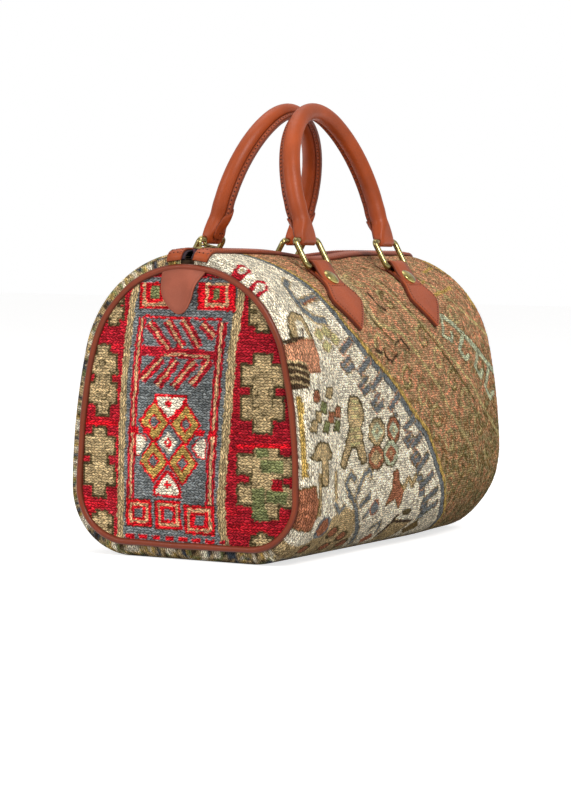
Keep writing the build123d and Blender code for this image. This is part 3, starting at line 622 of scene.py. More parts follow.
# Teeth of the border: place, width and height
TEETH = [(-110.0, 112.5, 25.0, 22.5), (-88.8, 127.5, 27.5, 23.8), (-71.3, 138.8, 27.5, 26.3),
         (-43.8, 155.0, 27.5, 26.3), (-20.0, 173.8, 27.5, 20.0), (-8.8, 187.5, 25.0, 20.0),
         (1.2, 202.5, 25.0, 18.8), (5.0, 217.5, 28.8, 15.0), (16.2, 230.0, 27.5, 13.8),
         (20.0, 242.5, 28.8, 10.0)]
TALL_TOOTH = 19
VINES = [[(-40, 52), (-38, 80), (-29, 102), (4, 110), (29, 130), (54, 152), (76, 177), (104, 200),
          (124, 222)],
         [(12, 56), (27, 88), (44, 102), (69, 120), (96, 137), (116, 152), (139, 175), (165, 198)],
         [(96, 60), (118, 78), (140, 100), (171, 120)]]
CURLS = [(38, 112), (61, 130), (81, 147), (101, 164), (123, 184), (141, 205), (1, 143), (26, 158), (46, 174),
         (66, 194), (86, 214), (-39, 118), (4, 80), (-22, 60), (60, 60), (112, 96), (106, 226), (66, 228)]
COMB = [(-128, 60), (-138, 66), (-141, 76), (-139, 88), (-130, 96), (-113, 98)]
LEAVES = [(-131, 108), (-119, 106), (-110, 112), (-124, 117)]
BEAST = [(-124, 202), (-111, 185), (-106, 176), (-107.5, 164), (-102.5, 155), (-92.5, 154.5), (-85, 162.5),
         (-84, 170.5), (-89, 176), (-86, 187.5), (-80, 201), (-87.5, 202.5), (-96, 190), (-105, 189),
         (-117.5, 204)]
# Lobes of the flower: place, half width, half height, fill and heart
LOBES = [(-63, 181, 16.5, 12.5, "khaki", "mint"), (-35, 181, 14, 12, "rust", "mint"),
         (-64, 200, 16, 11, "rust", "khaki"), (-41, 198, 15, 12, "mint", "rust")]
TREE = [(-165, 195), (-160, 187), (-152, 184), (-143, 186), (-138, 194), (-143, 196), (-144, 214),
        (-152, 214), (-152, 196)]
BIRD = [(-36, 212), (-29, 211), (-27, 220), (-20, 227), (-21, 240), (-31, 232), (-44, 237), (-37, 224)]
SPECKS = [(-152, 152), (-143.6, 160), (-132.6, 150), (-123, 164), (-142.5, 174), (-152.6, 166), (-134, 167),
          (-126, 174), (-160, 172)]
PEBBLES = [(-119, 252), (-98, 258), (-147, 266), (-112, 268), (-84, 268)]
# Slate branches low on the cream ground, each with its width
TWIGS = [([(-98, 214), (-106, 209), (-115, 216), (-108, 224), (-99, 230), (-88, 242), (-74, 256),
           (-60, 274)], 4.6),
         ([(-99, 228), (-84, 212), (-73, 208), (-71, 214)], 4.0), ([(-89, 234), (-71, 227)], 4.0),
         ([(-75, 244), (-64, 236)], 4.0), ([(-132, 228), (-122, 236), (-114, 231)], 3.6),
         ([(-52, 256), (-40, 250), (-34, 262)], 3.6)]
RINGS = [(-167.0, 45.0), (-168.5, 64.0)]
# Dark strokes on the rusty field: colour, width and line
STROKES = [("umber", 2.0, [(-44, 56), (-42, 80), (-36, 100), (-14, 116)]),
           ("umber", 1.8, [(20, 60), (34, 92), (52, 112), (84, 136), (120, 166)]),
           ("bark", 2.6, [(-48, 121), (-36, 125)]),
           ("bark", 2.8, [(-33, 120), (-31, 128), (-21, 131), (-8, 125)]),
           ("bark", 2.4, [(-12, 118), (1, 114), (12, 123)]),
           ("bark", 2.4, [(-18, 74), (-15, 86), (-6, 91)])]
MINT_CHAIN = [[(88.7, 96), (116, 112.5), (138.7, 127.5), (161, 142.5), (171, 149)],
              [(88.7, 96), (78.7, 113.8), (93.7, 117.5), (96, 110)],
              [(116, 113), (103.7, 125), (111, 132.5), (120, 130)],
              [(137, 128), (127.5, 140), (136, 147.5), (142, 142.5)],
              [(154, 141), (142.5, 156), (150, 165), (159, 160)]]
# Ochre strokes near the far end: width and line
GLEAMS = [(2.8, [(88, 80), (116, 75), (142, 70)]), (2.2, [(80, 70), (104, 62)]),
          (4.0, [(159, 30), (163, 70), (160, 92)]), (2.4, [(120, 52), (150, 44)])]
# Yarns of the mottled strip at the base, as bands of a noise from 0 to 100
SCRAPS = [("navy", box(0, 26, 400, 5)), ("bark", box(0, 37, 400, 4)), ("green", box(0, 56, 400, 5)),
          ("ochre", box(0, 70, 400, 5)), ("cream", box(0, 84, 400, 9))]


def tooth(x, d, width, height):
    """A crooked hook that hangs from the border."""
    if height > TALL_TOOTH:
        steps = [(1.0, 0.0), (0.12, 0.42), (0.6, 0.56), (0.08, 0.86), (0.34, 1.0), (0.8, 0.82)]
    else:
        steps = [(1.0, 0.0), (0.1, 0.6), (0.12, 0.95), (0.45, 0.9)]
    return [(x + a * width, d + b * height) for a, b in steps]


def curl(x, d, size):
    """An open ring with one end turned in."""
    steps = [(0.9, -0.5), (0.2, -0.95), (-0.7, -0.6), (-0.95, 0.2), (-0.4, 0.85), (0.45, 0.8), (0.75, 0.25),
             (0.1, 0.05)]
    return [(x + a * size, d + b * size) for a, b in steps]


def border_pattern():
    """The rusty field, its border and the hooks that hang from it."""
    layers = [("salmon", BORDER + [(180, 290), (180, 5)]), ("ochre", stripe(BORDER, 3.8, -5.2)),
              ("slate", stripe(BORDER, 5.2), "bark", 0.5)]
    return layers + drawn("slate", 4.8, [tooth(*place) for place in TEETH], "salmon", 0.9)


def faded_vines():
    """Vines and curls that fade into the rusty field."""
    layers = drawn("lichen", 3.0, VINES) + drawn("lichen", 2.6, [curl(x, d, 8.5) for x, d in CURLS])
    layers += drawn("umber", 1.8, [curl(x + 2.4, d + 1.6, 9.0) for x, d in CURLS[::2]])
    layers += [("salmon", lozenge(x + 1, d + 1, 4.0, 3.4)) for x, d in CURLS]
    return layers + [("khaki", [(-48, 48), (-30, 50), (-30, 86), (-34, 104), (-44, 104), (-46, 80)])]


def ground_figures():
    """The comb, the beast, the flower and the tree on the upper part of the cream ground."""
    layers = drawn("slate", 5.4, [COMB], "khaki", 1.2)
    layers += drawn("slate", 5.0, [[(-136, 82), (-107, 77)]], "khaki", 1.2)
    layers += drawn("rust", 1.7, [[(-133, 83.6), (-108, 78.4)]])
    layers += [("lichen", lozenge(x, d, 7.0, 4.6), "khaki", 0.8) for x, d in LEAVES]
    layers.append(("khaki", BEAST, "olive", 1.6))
    layers += [("lichen", box(-96, d, 5.4, 1.1)) for d in (158, 163, 168)]
    layers += [("lichen", box(-98, d, 8.0, 1.1)) for d in (178, 183, 188)]
    for x, d, wide, high, fill, heart in LOBES:
        layers += [(fill, rounded(lozenge(x, d, wide, high), 1), "olive", 1.2),
                   (heart, lozenge(x, d, wide * 0.6, high * 0.6)),
                   ("khaki", lozenge(x, d, wide * 0.2, high * 0.22))]
    layers += [("khaki", TREE, "olive", 1.5), ("rust", BIRD, "umber", 1.0)]
    return layers + drawn("khaki", 3.4, [[(-20, 226), (-12, 218), (-6, 224), (2, 217)]], "umber", 0.8)


def edge_figures():
    """The figures cut by the near seam, and the specks beside them."""
    layers = [("khaki", [(-168, 112), (-165, 95), (-156, 90), (-146, 94), (-143, 112)], "olive", 1.2),
              ("cream", [(-163, 110), (-160, 98), (-154, 96), (-149, 100), (-149, 110)]),
              ("salmon", [(-172, 113), (-144, 112), (-141, 124), (-142, 134), (-160, 134), (-172, 126)],
               "rust", 1.2),
              ("bark", stripe([(-172, 110), (-156, 110.5), (-153, 102.5)], 2.8)),
              ("bark", [(-172, 124), (-162, 127), (-157, 136), (-162, 146), (-172, 146)])]
    layers += drawn("khaki", 1.6, [[(-172, 124 + 5 * k), (-158, 130 + 5 * k)] for k in range(4)])
    for k, (x, d) in enumerate(SPECKS):
        colour = ("rust", "green", "khaki")[k % 3]
        speck = [(x - 5.4, d + 2.6), (x - 2, d - 4), (x + 5, d - 3), (x + 2, d + 4)]
        layers.append((colour, speck, "olive", 1.0))
    stems = [[(-156, 206), (-155, 236)], [(-132, 206), (-131, 228)]]
    return layers + drawn("khaki", 3.2, stems, "umber", 0.8)


def foot_figures():
    """The pebbles, twigs and scraps low on the cream ground."""
    layers = [("khaki", [(-134, 240), (-112, 232), (-98, 236), (-82, 254), (-72, 276), (-172, 276),
                         (-172, 262), (-150, 258)])]
    layers += [("rust", rounded(lozenge(x, d, 8, 5.4), 1), "olive", 1.6) for x, d in PEBBLES]
    layers.append(("rust", rounded(lozenge(-141, 246, 10, 9), 1), "slate", 2.2))
    for line, width in TWIGS:
        layers += drawn("slate", width, [line], "khaki", 0.9)
    layers += [("slate", rounded(lozenge(-61, 237, 8, 6.4), 1), "rust", 1.2),
               ("khaki", [(-22, 262), (-17, 250), (16, 254), (8, 276), (-24, 276)]),
               ("bark", stripe([(-16, 246), (-21, 254), (-27, 268)], 4.0)),
               ("bark", stripe([(-21, 252), (16, 255), (8, 268)], 3.0)),
               ("olive", rounded(lozenge(-4, 245, 11, 4), 1)), ("umber", lozenge(28, 264, 14, 9)),
               ("rust", lozenge(-42, 268, 10, 7)),
               ("rust", [(-172, 217), (-163, 214), (-158, 228), (-160, 246), (-172, 248)], "umber", 1.2)]
    return layers + drawn("ochre", 2.0, [[(-169.5, 150), (-169.5, 208)]])


def front_pattern():
    """Layers of the front, from the ground up."""
    layers = border_pattern() + faded_vines() + ground_figures() + edge_figures() + foot_figures()
    for x, d in RINGS:
        layers += [("crimson", rounded(box(x, d, 5.4, 5.6), 1)),
                   ("cream", rounded(box(x + 0.3, d, 2.9, 3.0), 1)), ("khaki", box(x + 0.3, d, 1.0, 1.1))]
    for colour, width, line in STROKES:
        layers += drawn(colour, width, [line])
    layers += drawn("mint", 4.6, MINT_CHAIN, "umber", 0.5)
    for width, line in GLEAMS:
        layers += drawn("ochre", width, [line])
    return layers


def front_turned(u, v):
    """The border and both ends of the wrap are worked upright."""
    return (within(u, v, stripe(BORDER, 11, -3.0)) & (v > 100)) | (u < -118) | (u > 120)


def is_yarn(index, name):
    """Where the pattern has a yarn."""
    return index == PALETTE.index(name)


def front_colours(u, v):
    """Stitch colours of the whole wrap: the front's pattern, and its border half turned on the rear."""
    front = v > 0
    place_u = np.where(front, u, -u)
    place_v = np.abs(v)
    index = painted(place_u, place_v, "cream", front_pattern())
    index = np.where(front, index, painted(place_u, place_v, "cream", border_pattern()))
    rgb = palette_colours(index, u, v, 11, 0.22)
    salmon, umber, khaki = (linear(getattr(colours(), name)) for name in ("salmon", "umber", "khaki"))
    field = is_yarn(index, "salmon") & (place_u > -110)
    down = 0.86 * ease((place_v - 100) / 165) + 0.2 * ease((place_u - 60) / 110)
    patch = soft_noise(u, v, 6.0, 5)
    speck = np.random.default_rng(7).random(np.shape(u))
    mix = np.clip(down + (patch - 0.5) * 1.1 + (speck - 0.5) * 0.5, 0, 1)[..., None]
    mottled = salmon * (1 - mix) + umber * mix
    pale = ((speck * 7) % 1 < 0.3)[..., None]
    mottled = np.where(pale, khaki * 0.8, mottled)
    dab = soft_noise(u, v, 2.6, 31)[..., None]
    warm_dab = np.where(dab < 0.34, np.array([1.14, 0.98, 0.94]), 1.0)
    mottled = mottled * np.where(dab > 0.62, np.array([0.68, 0.84, 0.76]), warm_dab)
    rgb = np.where(field[..., None], mottled * (0.88 + 0.3 * soft_noise(u, v, 5.0, 8))[..., None], rgb)
    dotted = is_yarn(index, "cream")[..., None] & ((speck * 13) % 1 < 0.14)[..., None]
    rgb = np.where(dotted, rgb * np.array([0.5, 0.47, 0.42]), rgb)
    faded = is_yarn(index, "lichen") & (place_u > -90)
    rgb = np.where(faded[..., None], rgb * np.array([0.96, 0.86, 0.8]) * (1 - 0.45 * down[..., None]), rgb)
    under = np.maximum(ease((place_v - 268) / 14), np.where(front, 0.0, ease((-152 - u) / 10)))[..., None]
    scraps = painted(place_u, soft_noise(u, v, 5.0, 17) * 100, "khaki", SCRAPS)
    rgb = rgb * (1 - under) + palette_colours(scraps, u, v, 19, 0.3) * under
    # Painted shade: the wrap's colours darken lower down, towards the base.
    painted_shade_low = 1 - 0.22 * ease((place_v - 225) / 50)
    return np.clip(rgb * painted_shade_low[..., None], 0, 1)


def end_colours(u, v, layers, seed):
    """Stitch colours of an end panel, painted lighter on its left and darker on its right as light falls,
    with pale flecks on the left as painted sheen.
    """
    index = painted(u, v, "crimson", layers)
    rgb = palette_colours(index, u, v, seed, 0.17)
    crimson = is_yarn(index, "crimson")[..., None]
    # Painted light: brighter towards the left of the panel and darker towards its right, in full on the
    # crimson and by half on the other yarns.
    painted_light_gradient = (1.12 - 0.34 * ease((u + 60) / 110))[..., None]
    rgb = np.where(crimson, rgb * painted_light_gradient, rgb * (0.5 + 0.5 * painted_light_gradient))
    bright = (soft_noise(u * 0.2, v, 3.6, seed + 5) > 0.66)[..., None]
    rgb = np.where(crimson & bright, rgb * np.array([1.2, 0.9, 0.9]), rgb)
    # Painted sheen: pale pinkish flecks on the crimson, only on the left of the panel, where the light falls.
    pale = crimson & (soft_noise(u * 0.3, v, 2.6, seed + 6) > 0.8)[..., None] & (u < -40)[..., None]
    rgb = np.where(pale, rgb * np.array([1.15, 1.9, 1.6]), rgb)
    return np.clip(rgb, 0, 1)


# Woven meshes: rows of yarn raised in the mesh, their colours held at its points
def woven_patch(u_edges, v_edges, place, colour, keep, relief, seed, flipped, stitch_size, turned=None):
    """Points, faces, stitch coordinates and colours of an uneven field of stitches."""
    rng = np.random.default_rng(seed)
    u_grid, v_grid = np.meshgrid(u_edges, v_edges, indexing="ij")
    columns, rows = u_grid.shape
    i, j = np.meshgrid(np.arange(columns), np.arange(rows), indexing="ij")
    rim = (i == 0) | (j == 0) | (i == columns - 1) | (j == rows - 1)
    height = np.where(rim, 0.0, relief * rng.random(u_grid.shape))
    points = place(u_grid.ravel(), v_grid.ravel(), height.ravel())
    wander = 1.5 * (soft_noise(u_grid, v_grid, 3.0, seed + 20) - 0.5)
    drift = 1.2 * (soft_noise(v_grid, u_grid, 2.4, seed + 21) - 0.5)
    rgb = colour(u_grid + wander, v_grid + drift).reshape(-1, 3)
    i, j = i[:-1, :-1], j[:-1, :-1]
    middle_u, middle_v = u_grid[:-1, :-1] + 0.5, v_grid[:-1, :-1] + 0.5
    chosen = keep(middle_u, middle_v)
    order = [(0, 0), (0, 1), (1, 1), (1, 0)] if flipped else [(0, 0), (1, 0), (1, 1), (0, 1)]
    faces = np.stack([(i + a) * rows + (j + b) for a, b in order], axis=-1)[chosen]
    along, across = stitch_size
    upright = turned(middle_u, middle_v) if turned else np.zeros(i.shape, bool)
    corners = []
    for a, b in order:
        u, v = u_grid[i + a, j + b], v_grid[i + a, j + b]
        corners.append(np.stack([np.where(upright, v, u) / along, np.where(upright, u, v) / across], axis=-1))
    stitch = np.stack(corners, axis=2)[chosen] + STITCH_START
    return points, faces, stitch, rgb


def woven_object(name, patches, material):
    """One mesh from fields of stitches."""
    sizes = [len(patch[0]) for patch in patches]
    starts = np.concatenate([[0], np.cumsum(sizes)[:-1]])
    points = np.vstack([patch[0] for patch in patches])
    faces = np.vstack([patch[1] + start for patch, start in zip(patches, starts)])
    stitch = np.vstack([patch[2] for patch in patches])
    rgb = np.vstack([patch[3] for patch in patches])
    used = np.unique(faces)
    number = np.zeros(len(points), int)
    number[used] = np.arange(len(used))
    mesh = bpy.data.meshes.new(name)
    mesh.from_pydata((points[used] * MM).tolist(), [], number[faces].tolist())
    layer = mesh.uv_layers.new(name="stitch")
    layer.uv.foreach_set("vector", stitch.reshape(-1).astype(np.float32))
    tint = mesh.attributes.new("yarn_colour", "FLOAT_COLOR", "POINT")
    rgba = np.column_stack([rgb[used], np.ones(len(used))])
    tint.data.foreach_set("color", rgba.reshape(-1).astype(np.float32))
    mesh.materials.append(material)
    mesh.shade_smooth()
    mesh.update()
    return placed_object(name, mesh)


def even_edges(low, high, step):
    """Even places between two ends, about a step apart."""
    return np.linspace(low, high, int(round((high - low) / step)) + 1)


# Materials
def new_material(name):
    """A material, its tree and its shader."""
    material = bpy.data.materials.new(name)
    material.use_nodes = True
    tree = material.node_tree
    return material, tree, tree.nodes["Principled BSDF"]


def fill(tree, socket, value):
    """Links a socket to an output, or sets its value."""
    if hasattr(value, "is_output"):
        tree.links.new(value, socket)
    else:
        socket.default_value = value


def put(tree, kind, **values):
    """A node with its sockets set by name."""
    node = tree.nodes.new(kind)
    for name, value in values.items():
        fill(tree, node.inputs[name.replace("_", " ")], value)
    return node


def maths(tree, operation, first, second=0.0, kind="ShaderNodeMath"):
    """The result of a sum on two values, or on two vectors."""
    node = tree.nodes.new(kind)
    node.operation = operation
    for socket, value in zip(node.inputs, (first, second)):
        fill(tree, socket, value)
    return node.outputs[0]


def vector_maths(tree, operation, first, second):
    """The result of a sum on two vectors."""
    return maths(tree, operation, first, second, "ShaderNodeVectorMath")


def mixed(tree, factor, first, second, kind="MIX"):
    """Two colours mixed by a factor."""
    node = tree.nodes.new("ShaderNodeMix")
    node.data_type = "RGBA"
    node.blend_type = kind
    for number, value in ((0, factor), (6, first), (7, second)):
        fill(tree, node.inputs[number], value)
    return node.outputs[2]


def colour4(rgb, factor=1.0):
    """A display colour as a socket takes it, made lighter or darker."""
    return tuple(np.clip(linear(rgb) * factor, 0, 1)) + (1.0,)


def ranged(tree, value, low, high, to_low, to_high):
    """A value carried from one range to another."""
    node = put(tree, "ShaderNodeMapRange", Value=value, From_Min=low, From_Max=high, To_Min=to_low,
               To_Max=to_high)
    return node.outputs[0]


def bump(tree, shader, height, strength, distance):
    """Raises a shader's surface by a height."""
    node = put(tree, "ShaderNodeBump", Height=height, Strength=strength, Distance=distance)
    tree.links.new(node.outputs["Normal"], shader.inputs["Normal"])


def object_place(tree):
    """The place on the object that a pattern follows."""
    return tree.nodes.new("ShaderNodeTexCoord").outputs["Object"]


def held_value(tree, name):
    """The node that reads a value kept on the mesh."""
    node = tree.nodes.new("ShaderNodeAttribute")
    node.attribute_name = name
    return node


def finished(tree, shader, base, roughness, specular=None):
    """Links the colour, and sets how rough and how shiny a finish is."""
    tree.links.new(base, shader.inputs["Base Color"])
    fill(tree, shader.inputs["Roughness"], roughness)
    if specular is not None:
        shader.inputs["Specular IOR Level"].default_value = specular


def woven_wool():
    """Slanting wool stitches in rows that lean by turns, uneven, with painted shade where they meet and
    painted highlight on their crowns.
    """
    material, tree, shader = new_material("Woven_Wool")
    tint = held_value(tree, "yarn_colour")
    uv = tree.nodes.new("ShaderNodeUVMap")
    uv.uv_map = "stitch"
    place = object_place(tree)
    waver = put(tree, "ShaderNodeTexNoise", Vector=place, Scale=130.0, Detail=2.0).outputs["Color"]
    waver = vector_maths(tree, "SUBTRACT", waver, (0.5, 0.5, 0.5))
    waver = vector_maths(tree, "MULTIPLY", waver, (1.3, 0.9, 0.0))
    split = put(tree, "ShaderNodeSeparateXYZ", Vector=vector_maths(tree, "ADD", uv.outputs[0], waver))
    u, v = split.outputs[0], split.outputs[1]
    odd_row = maths(tree, "MODULO", maths(tree, "FLOOR", v), 2.0)
    lean = maths(tree, "SUBTRACT", 1.0, maths(tree, "MULTIPLY", odd_row, 2.0))
    in_row = maths(tree, "SUBTRACT", maths(tree, "FRACT", v), 0.5)
    slant = maths(tree, "MULTIPLY", lean, maths(tree, "MULTIPLY", in_row, 0.9))
    half_step = maths(tree, "MULTIPLY", lean, 0.25)
    shifted = maths(tree, "ADD", maths(tree, "ADD", u, slant), half_step)
    leaning = put(tree, "ShaderNodeCombineXYZ", X=shifted, Y=v).outputs[0]
    edges = put(tree, "ShaderNodeTexVoronoi", Vector=leaning, Scale=1.0, Randomness=0.55)
    cells = put(tree, "ShaderNodeTexVoronoi", Vector=leaning, Scale=1.0, Randomness=0.55)
    for node, feature in ((edges, "DISTANCE_TO_EDGE"), (cells, "F1")):
        node.voronoi_dimensions = "2D"
        node.feature = feature
    chance = put(tree, "ShaderNodeSeparateColor", Color=cells.outputs["Color"]).outputs[0]
    gap = edges.outputs["Distance"]
    roundness = maths(tree, "POWER", ranged(tree, gap, 0.0, 0.4, 0.0, 1.0), 0.6)
    fuzz = put(tree, "ShaderNodeTexNoise", Vector=place, Scale=1700.0, Detail=3.0).outputs[0]
    # Painted shade in the gaps between stitches and painted highlight on their crowns, times the random tone
    # of each stitch and its fibres.
    painted_shade_and_tone = ranged(tree, gap, 0.01, 0.2, 0.08, 1.5)
    painted_shade_and_tone = maths(tree, "MULTIPLY", painted_shade_and_tone, ranged(tree, chance, 0, 1, 0.6, 1.55))
    painted_shade_and_tone = maths(tree, "MULTIPLY", painted_shade_and_tone, ranged(tree, fuzz, 0.25, 0.75, 0.78, 1.18))
    grey = put(tree, "ShaderNodeCombineColor", Red=painted_shade_and_tone, Green=painted_shade_and_tone, Blue=painted_shade_and_tone)
    base = mixed(tree, 1.0, tint.outputs["Color"], grey.outputs[0], "MULTIPLY")
    finished(tree, shader, base, 0.92, 0.08)
    bump(tree, shader, maths(tree, "ADD", roundness, maths(tree, "MULTIPLY", fuzz, 0.35)), 0.8, 0.0007)
    return material


def tanned_leather(name, rgb, edge_rgb, shine=0.42):
    """Smooth tanned leather with a fine grain, uneven dye and darker burnished edges; on the piping the dark
    flanks are painted shade.
    """
    material, tree, shader = new_material(name)
    place = object_place(tree)
    clouds = put(tree, "ShaderNodeTexNoise", Vector=place, Scale=38.0, Detail=4.0).outputs[0]
    grain = put(tree, "ShaderNodeTexVoronoi", Vector=place, Scale=1500.0).outputs["Distance"]
    fine = put(tree, "ShaderNodeTexNoise", Vector=place, Scale=900.0, Detail=4.0).outputs[0]
    # The edge value marks burnished edges, and on the piping painted shade on its flanks.
    worn_and_shaded = held_value(tree, "edge_wear_and_shade").outputs["Fac"]
    burnished = colour4(edge_rgb)
    light = mixed(tree, ranged(tree, clouds, 0.3, 0.7, 0, 1), colour4(rgb, 0.76), colour4(rgb, 1.18))
    pores = mixed(tree, ranged(tree, grain, 0.0, 0.5, 0.0, 0.16), light, burnished)
    base = mixed(tree, maths(tree, "MULTIPLY", worn_and_shaded, 0.85), pores, burnished)
    finished(tree, shader, base, ranged(tree, fine, 0.3, 0.7, shine - 0.08, shine + 0.12), 0.3)
    bump(tree, shader, maths(tree, "ADD", maths(tree, "MULTIPLY", grain, 0.6), fine), 0.3, 0.00025)
    return material


def antique_brass(name, rgb):
    """Polished brass with brown left in its hollows."""
    material, tree, shader = new_material(name)
    place = object_place(tree)
    stain = put(tree, "ShaderNodeTexNoise", Vector=place, Scale=240.0, Detail=6.0).outputs[0]
    scratch = put(tree, "ShaderNodeTexNoise", Vector=place, Scale=1400.0, Detail=2.0).outputs[0]
    base = mixed(tree, ranged(tree, stain, 0.4, 0.62, 0, 1), colour4(rgb, 0.5), colour4(rgb))
    finished(tree, shader, base, ranged(tree, scratch, 0.3, 0.7, 0.16, 0.28))
    shader.inputs["Metallic"].default_value = 1.0
    bump(tree, shader, scratch, 0.12, 0.0001)
    return material


def woven_tape(name, rgb, scale):
    """Fine ribbed cloth for the zip tapes, the lining, the board and the cords."""
    material, tree, shader = new_material(name)
    place = object_place(tree)
    ribs = put(tree, "ShaderNodeTexWave", Vector=place, Scale=scale, Distortion=0.6).outputs["Fac"]
    noise = put(tree, "ShaderNodeTexNoise", Vector=place, Scale=900.0, Detail=2.0).outputs[0]
    finished(tree, shader, mixed(tree, ribs, colour4(rgb, 0.75), colour4(rgb, 1.2)), 0.85)
    bump(tree, shader, maths(tree, "ADD", ribs, noise), 0.4, 0.0002)
    return material


def zip_nylon():
    """Moulded dark teeth with a slight shine."""
    material, tree, shader = new_material("Zip_Nylon")
    noise = put(tree, "ShaderNodeTexNoise", Vector=object_place(tree), Scale=700.0, Detail=2.0).outputs[0]
    base = mixed(tree, noise, colour4((0.24, 0.12, 0.16)), colour4((0.46, 0.28, 0.34)))
    finished(tree, shader, base, ranged(tree, noise, 0.3, 0.7, 0.25, 0.45))
    return material


def sewing_thread():
    """Waxed thread with its twist."""
    material, tree, shader = new_material("Sewing_Thread")
    place = object_place(tree)
    twist = put(tree, "ShaderNodeTexWave", Vector=place, Scale=700.0, Distortion=1.0).outputs["Fac"]
    base = mixed(tree, twist, colour4((0.56, 0.25, 0.13)), colour4((0.76, 0.4, 0.24)))
    finished(tree, shader, base, 0.6)
    bump(tree, shader, twist, 0.4, 0.0001)
    return material


MATERIALS = {}


def finish_of(name):
    """The material of a finish, made once."""
    own = colours()
    makers = {
        "wool": woven_wool,
        "leather": lambda: tanned_leather("Tanned_Leather", own.leather, own.leather_edge),
        "piping": lambda: tanned_leather("Piping_Leather_And_Shade", own.piping_leather_and_shade, own.leather_edge, 0.36),
        "tab": lambda: tanned_leather("Tab_Leather_And_Sheen", own.tab_leather_and_sheen, own.leather_edge, 0.5),
        "brass": lambda: antique_brass("Antique_Brass", own.brass),
        "rivet": lambda: antique_brass("Lit_Rivet_Brass", own.lit_rivet_brass),
        "tape": lambda: woven_tape("Zip_Tape_Cloth", own.zip_cloth, 520.0),
        "lining": lambda: woven_tape("Lining_Cotton", (0.44, 0.34, 0.24), 420.0),
        "board": lambda: woven_tape("Board_Cloth", (0.2, 0.18, 0.16), 300.0),
        "cord": lambda: woven_tape("Cord_Cotton", (0.78, 0.72, 0.6), 300.0),
        "nylon": zip_nylon,
        "thread": sewing_thread,
        # Painted shade for the awl holes.
        "hole": lambda: woven_tape("Awl_Hole", (0.17, 0.06, 0.03), 900.0),
    }
    if name not in MATERIALS:
        MATERIALS[name] = makers[name]()
    return MATERIALS[name]


def rides(thing, body, slot, *nodes):
    """Fastens a piece to its body and hides the CAD nodes it stands for; its slot is not used."""
    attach(thing, body)
    if nodes:
        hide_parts(*nodes)
    return thing


# Geometry Nodes for what repeats along a line
def repeat_tree(name, shape_builder):
    """A tree that puts one small shape at even steps along the lines of a mesh."""
    tree = bpy.data.node_groups.new(name, "GeometryNodeTree")
    tree.interface.new_socket(name="Lines", in_out="INPUT", socket_type="NodeSocketGeometry")
    for label in ("Pitch", "Length", "Width", "Height"):
        tree.interface.new_socket(name=label, in_out="INPUT", socket_type="NodeSocketFloat")
    tree.interface.new_socket(name="Finish", in_out="INPUT", socket_type="NodeSocketMaterial")
    tree.interface.new_socket(name="Geometry", in_out="OUTPUT", socket_type="NodeSocketGeometry")
    nodes, links = tree.nodes, tree.links
    entry = nodes.new("NodeGroupInput")
    leave = nodes.new("NodeGroupOutput")
    to_curve = nodes.new("GeometryNodeMeshToCurve")
    links.new(entry.outputs["Lines"], to_curve.inputs[0])
    spaced = nodes.new("GeometryNodeResampleCurve")
    spaced.mode = "LENGTH"
    links.new(to_curve.outputs[0], spaced.inputs["Curve"])
    links.new(entry.outputs["Pitch"], spaced.inputs["Length"])
    tangent = nodes.new("GeometryNodeInputTangent")
    along = nodes.new("FunctionNodeAlignRotationToVector")
    along.axis = "X"
    links.new(tangent.outputs[0], along.inputs["Vector"])
    normal = nodes.new("GeometryNodeInputNamedAttribute")
    normal.data_type = "FLOAT_VECTOR"
    normal.inputs["Name"].default_value = "up"
    upright = nodes.new("FunctionNodeAlignRotationToVector")
    upright.axis = "Z"
    upright.pivot_axis = "X"
    links.new(along.outputs[0], upright.inputs["Rotation"])
    links.new(normal.outputs[0], upright.inputs["Vector"])
    size = nodes.new("ShaderNodeCombineXYZ")
    for label, socket in (("Length", "X"), ("Width", "Y"), ("Height", "Z")):
        links.new(entry.outputs[label], size.inputs[socket])
    shape = shape_builder(nodes, links)
    placed = nodes.new("GeometryNodeInstanceOnPoints")
    links.new(spaced.outputs[0], placed.inputs["Points"])
    links.new(shape, placed.inputs["Instance"])
    links.new(upright.outputs[0], placed.inputs["Rotation"])
    links.new(size.outputs[0], placed.inputs["Scale"])
    real = nodes.new("GeometryNodeRealizeInstances")
    links.new(placed.outputs[0], real.inputs[0])
    finish = nodes.new("GeometryNodeSetMaterial")
    links.new(real.outputs[0], finish.inputs["Geometry"])
    links.new(entry.outputs["Finish"], finish.inputs["Material"])
    links.new(finish.outputs[0], leave.inputs[0])
    return tree


def smoothed(nodes, links, shape):
    """A small shape, shaded smooth."""
    smooth = nodes.new("GeometryNodeSetShadeSmooth")
    links.new(shape.outputs[0], smooth.inputs[0])
    return smooth.outputs[0]


def stitch_shape(nodes, links):
    """The ball that a stitch is stretched from."""
    ball = nodes.new("GeometryNodeMeshUVSphere")
    ball.inputs["Segments"].default_value = 8
    ball.inputs["Rings"].default_value = 5
    ball.inputs["Radius"].default_value = 0.5
    return smoothed(nodes, links, ball)


def tooth_shape(nodes, links):
    """The rounded block that a zip tooth is stretched from."""
    block = nodes.new("GeometryNodeMeshCube")
    block.inputs["Size"].default_value = (1, 1, 1)
    rounder = nodes.new("GeometryNodeSubdivisionSurface")
    rounder.inputs["Level"].default_value = 2
    links.new(block.outputs[0], rounder.inputs[0])
    return smoothed(nodes, links, rounder)


TREES = {}
SMALL_SHAPES = {"stitches": stitch_shape, "teeth": tooth_shape}


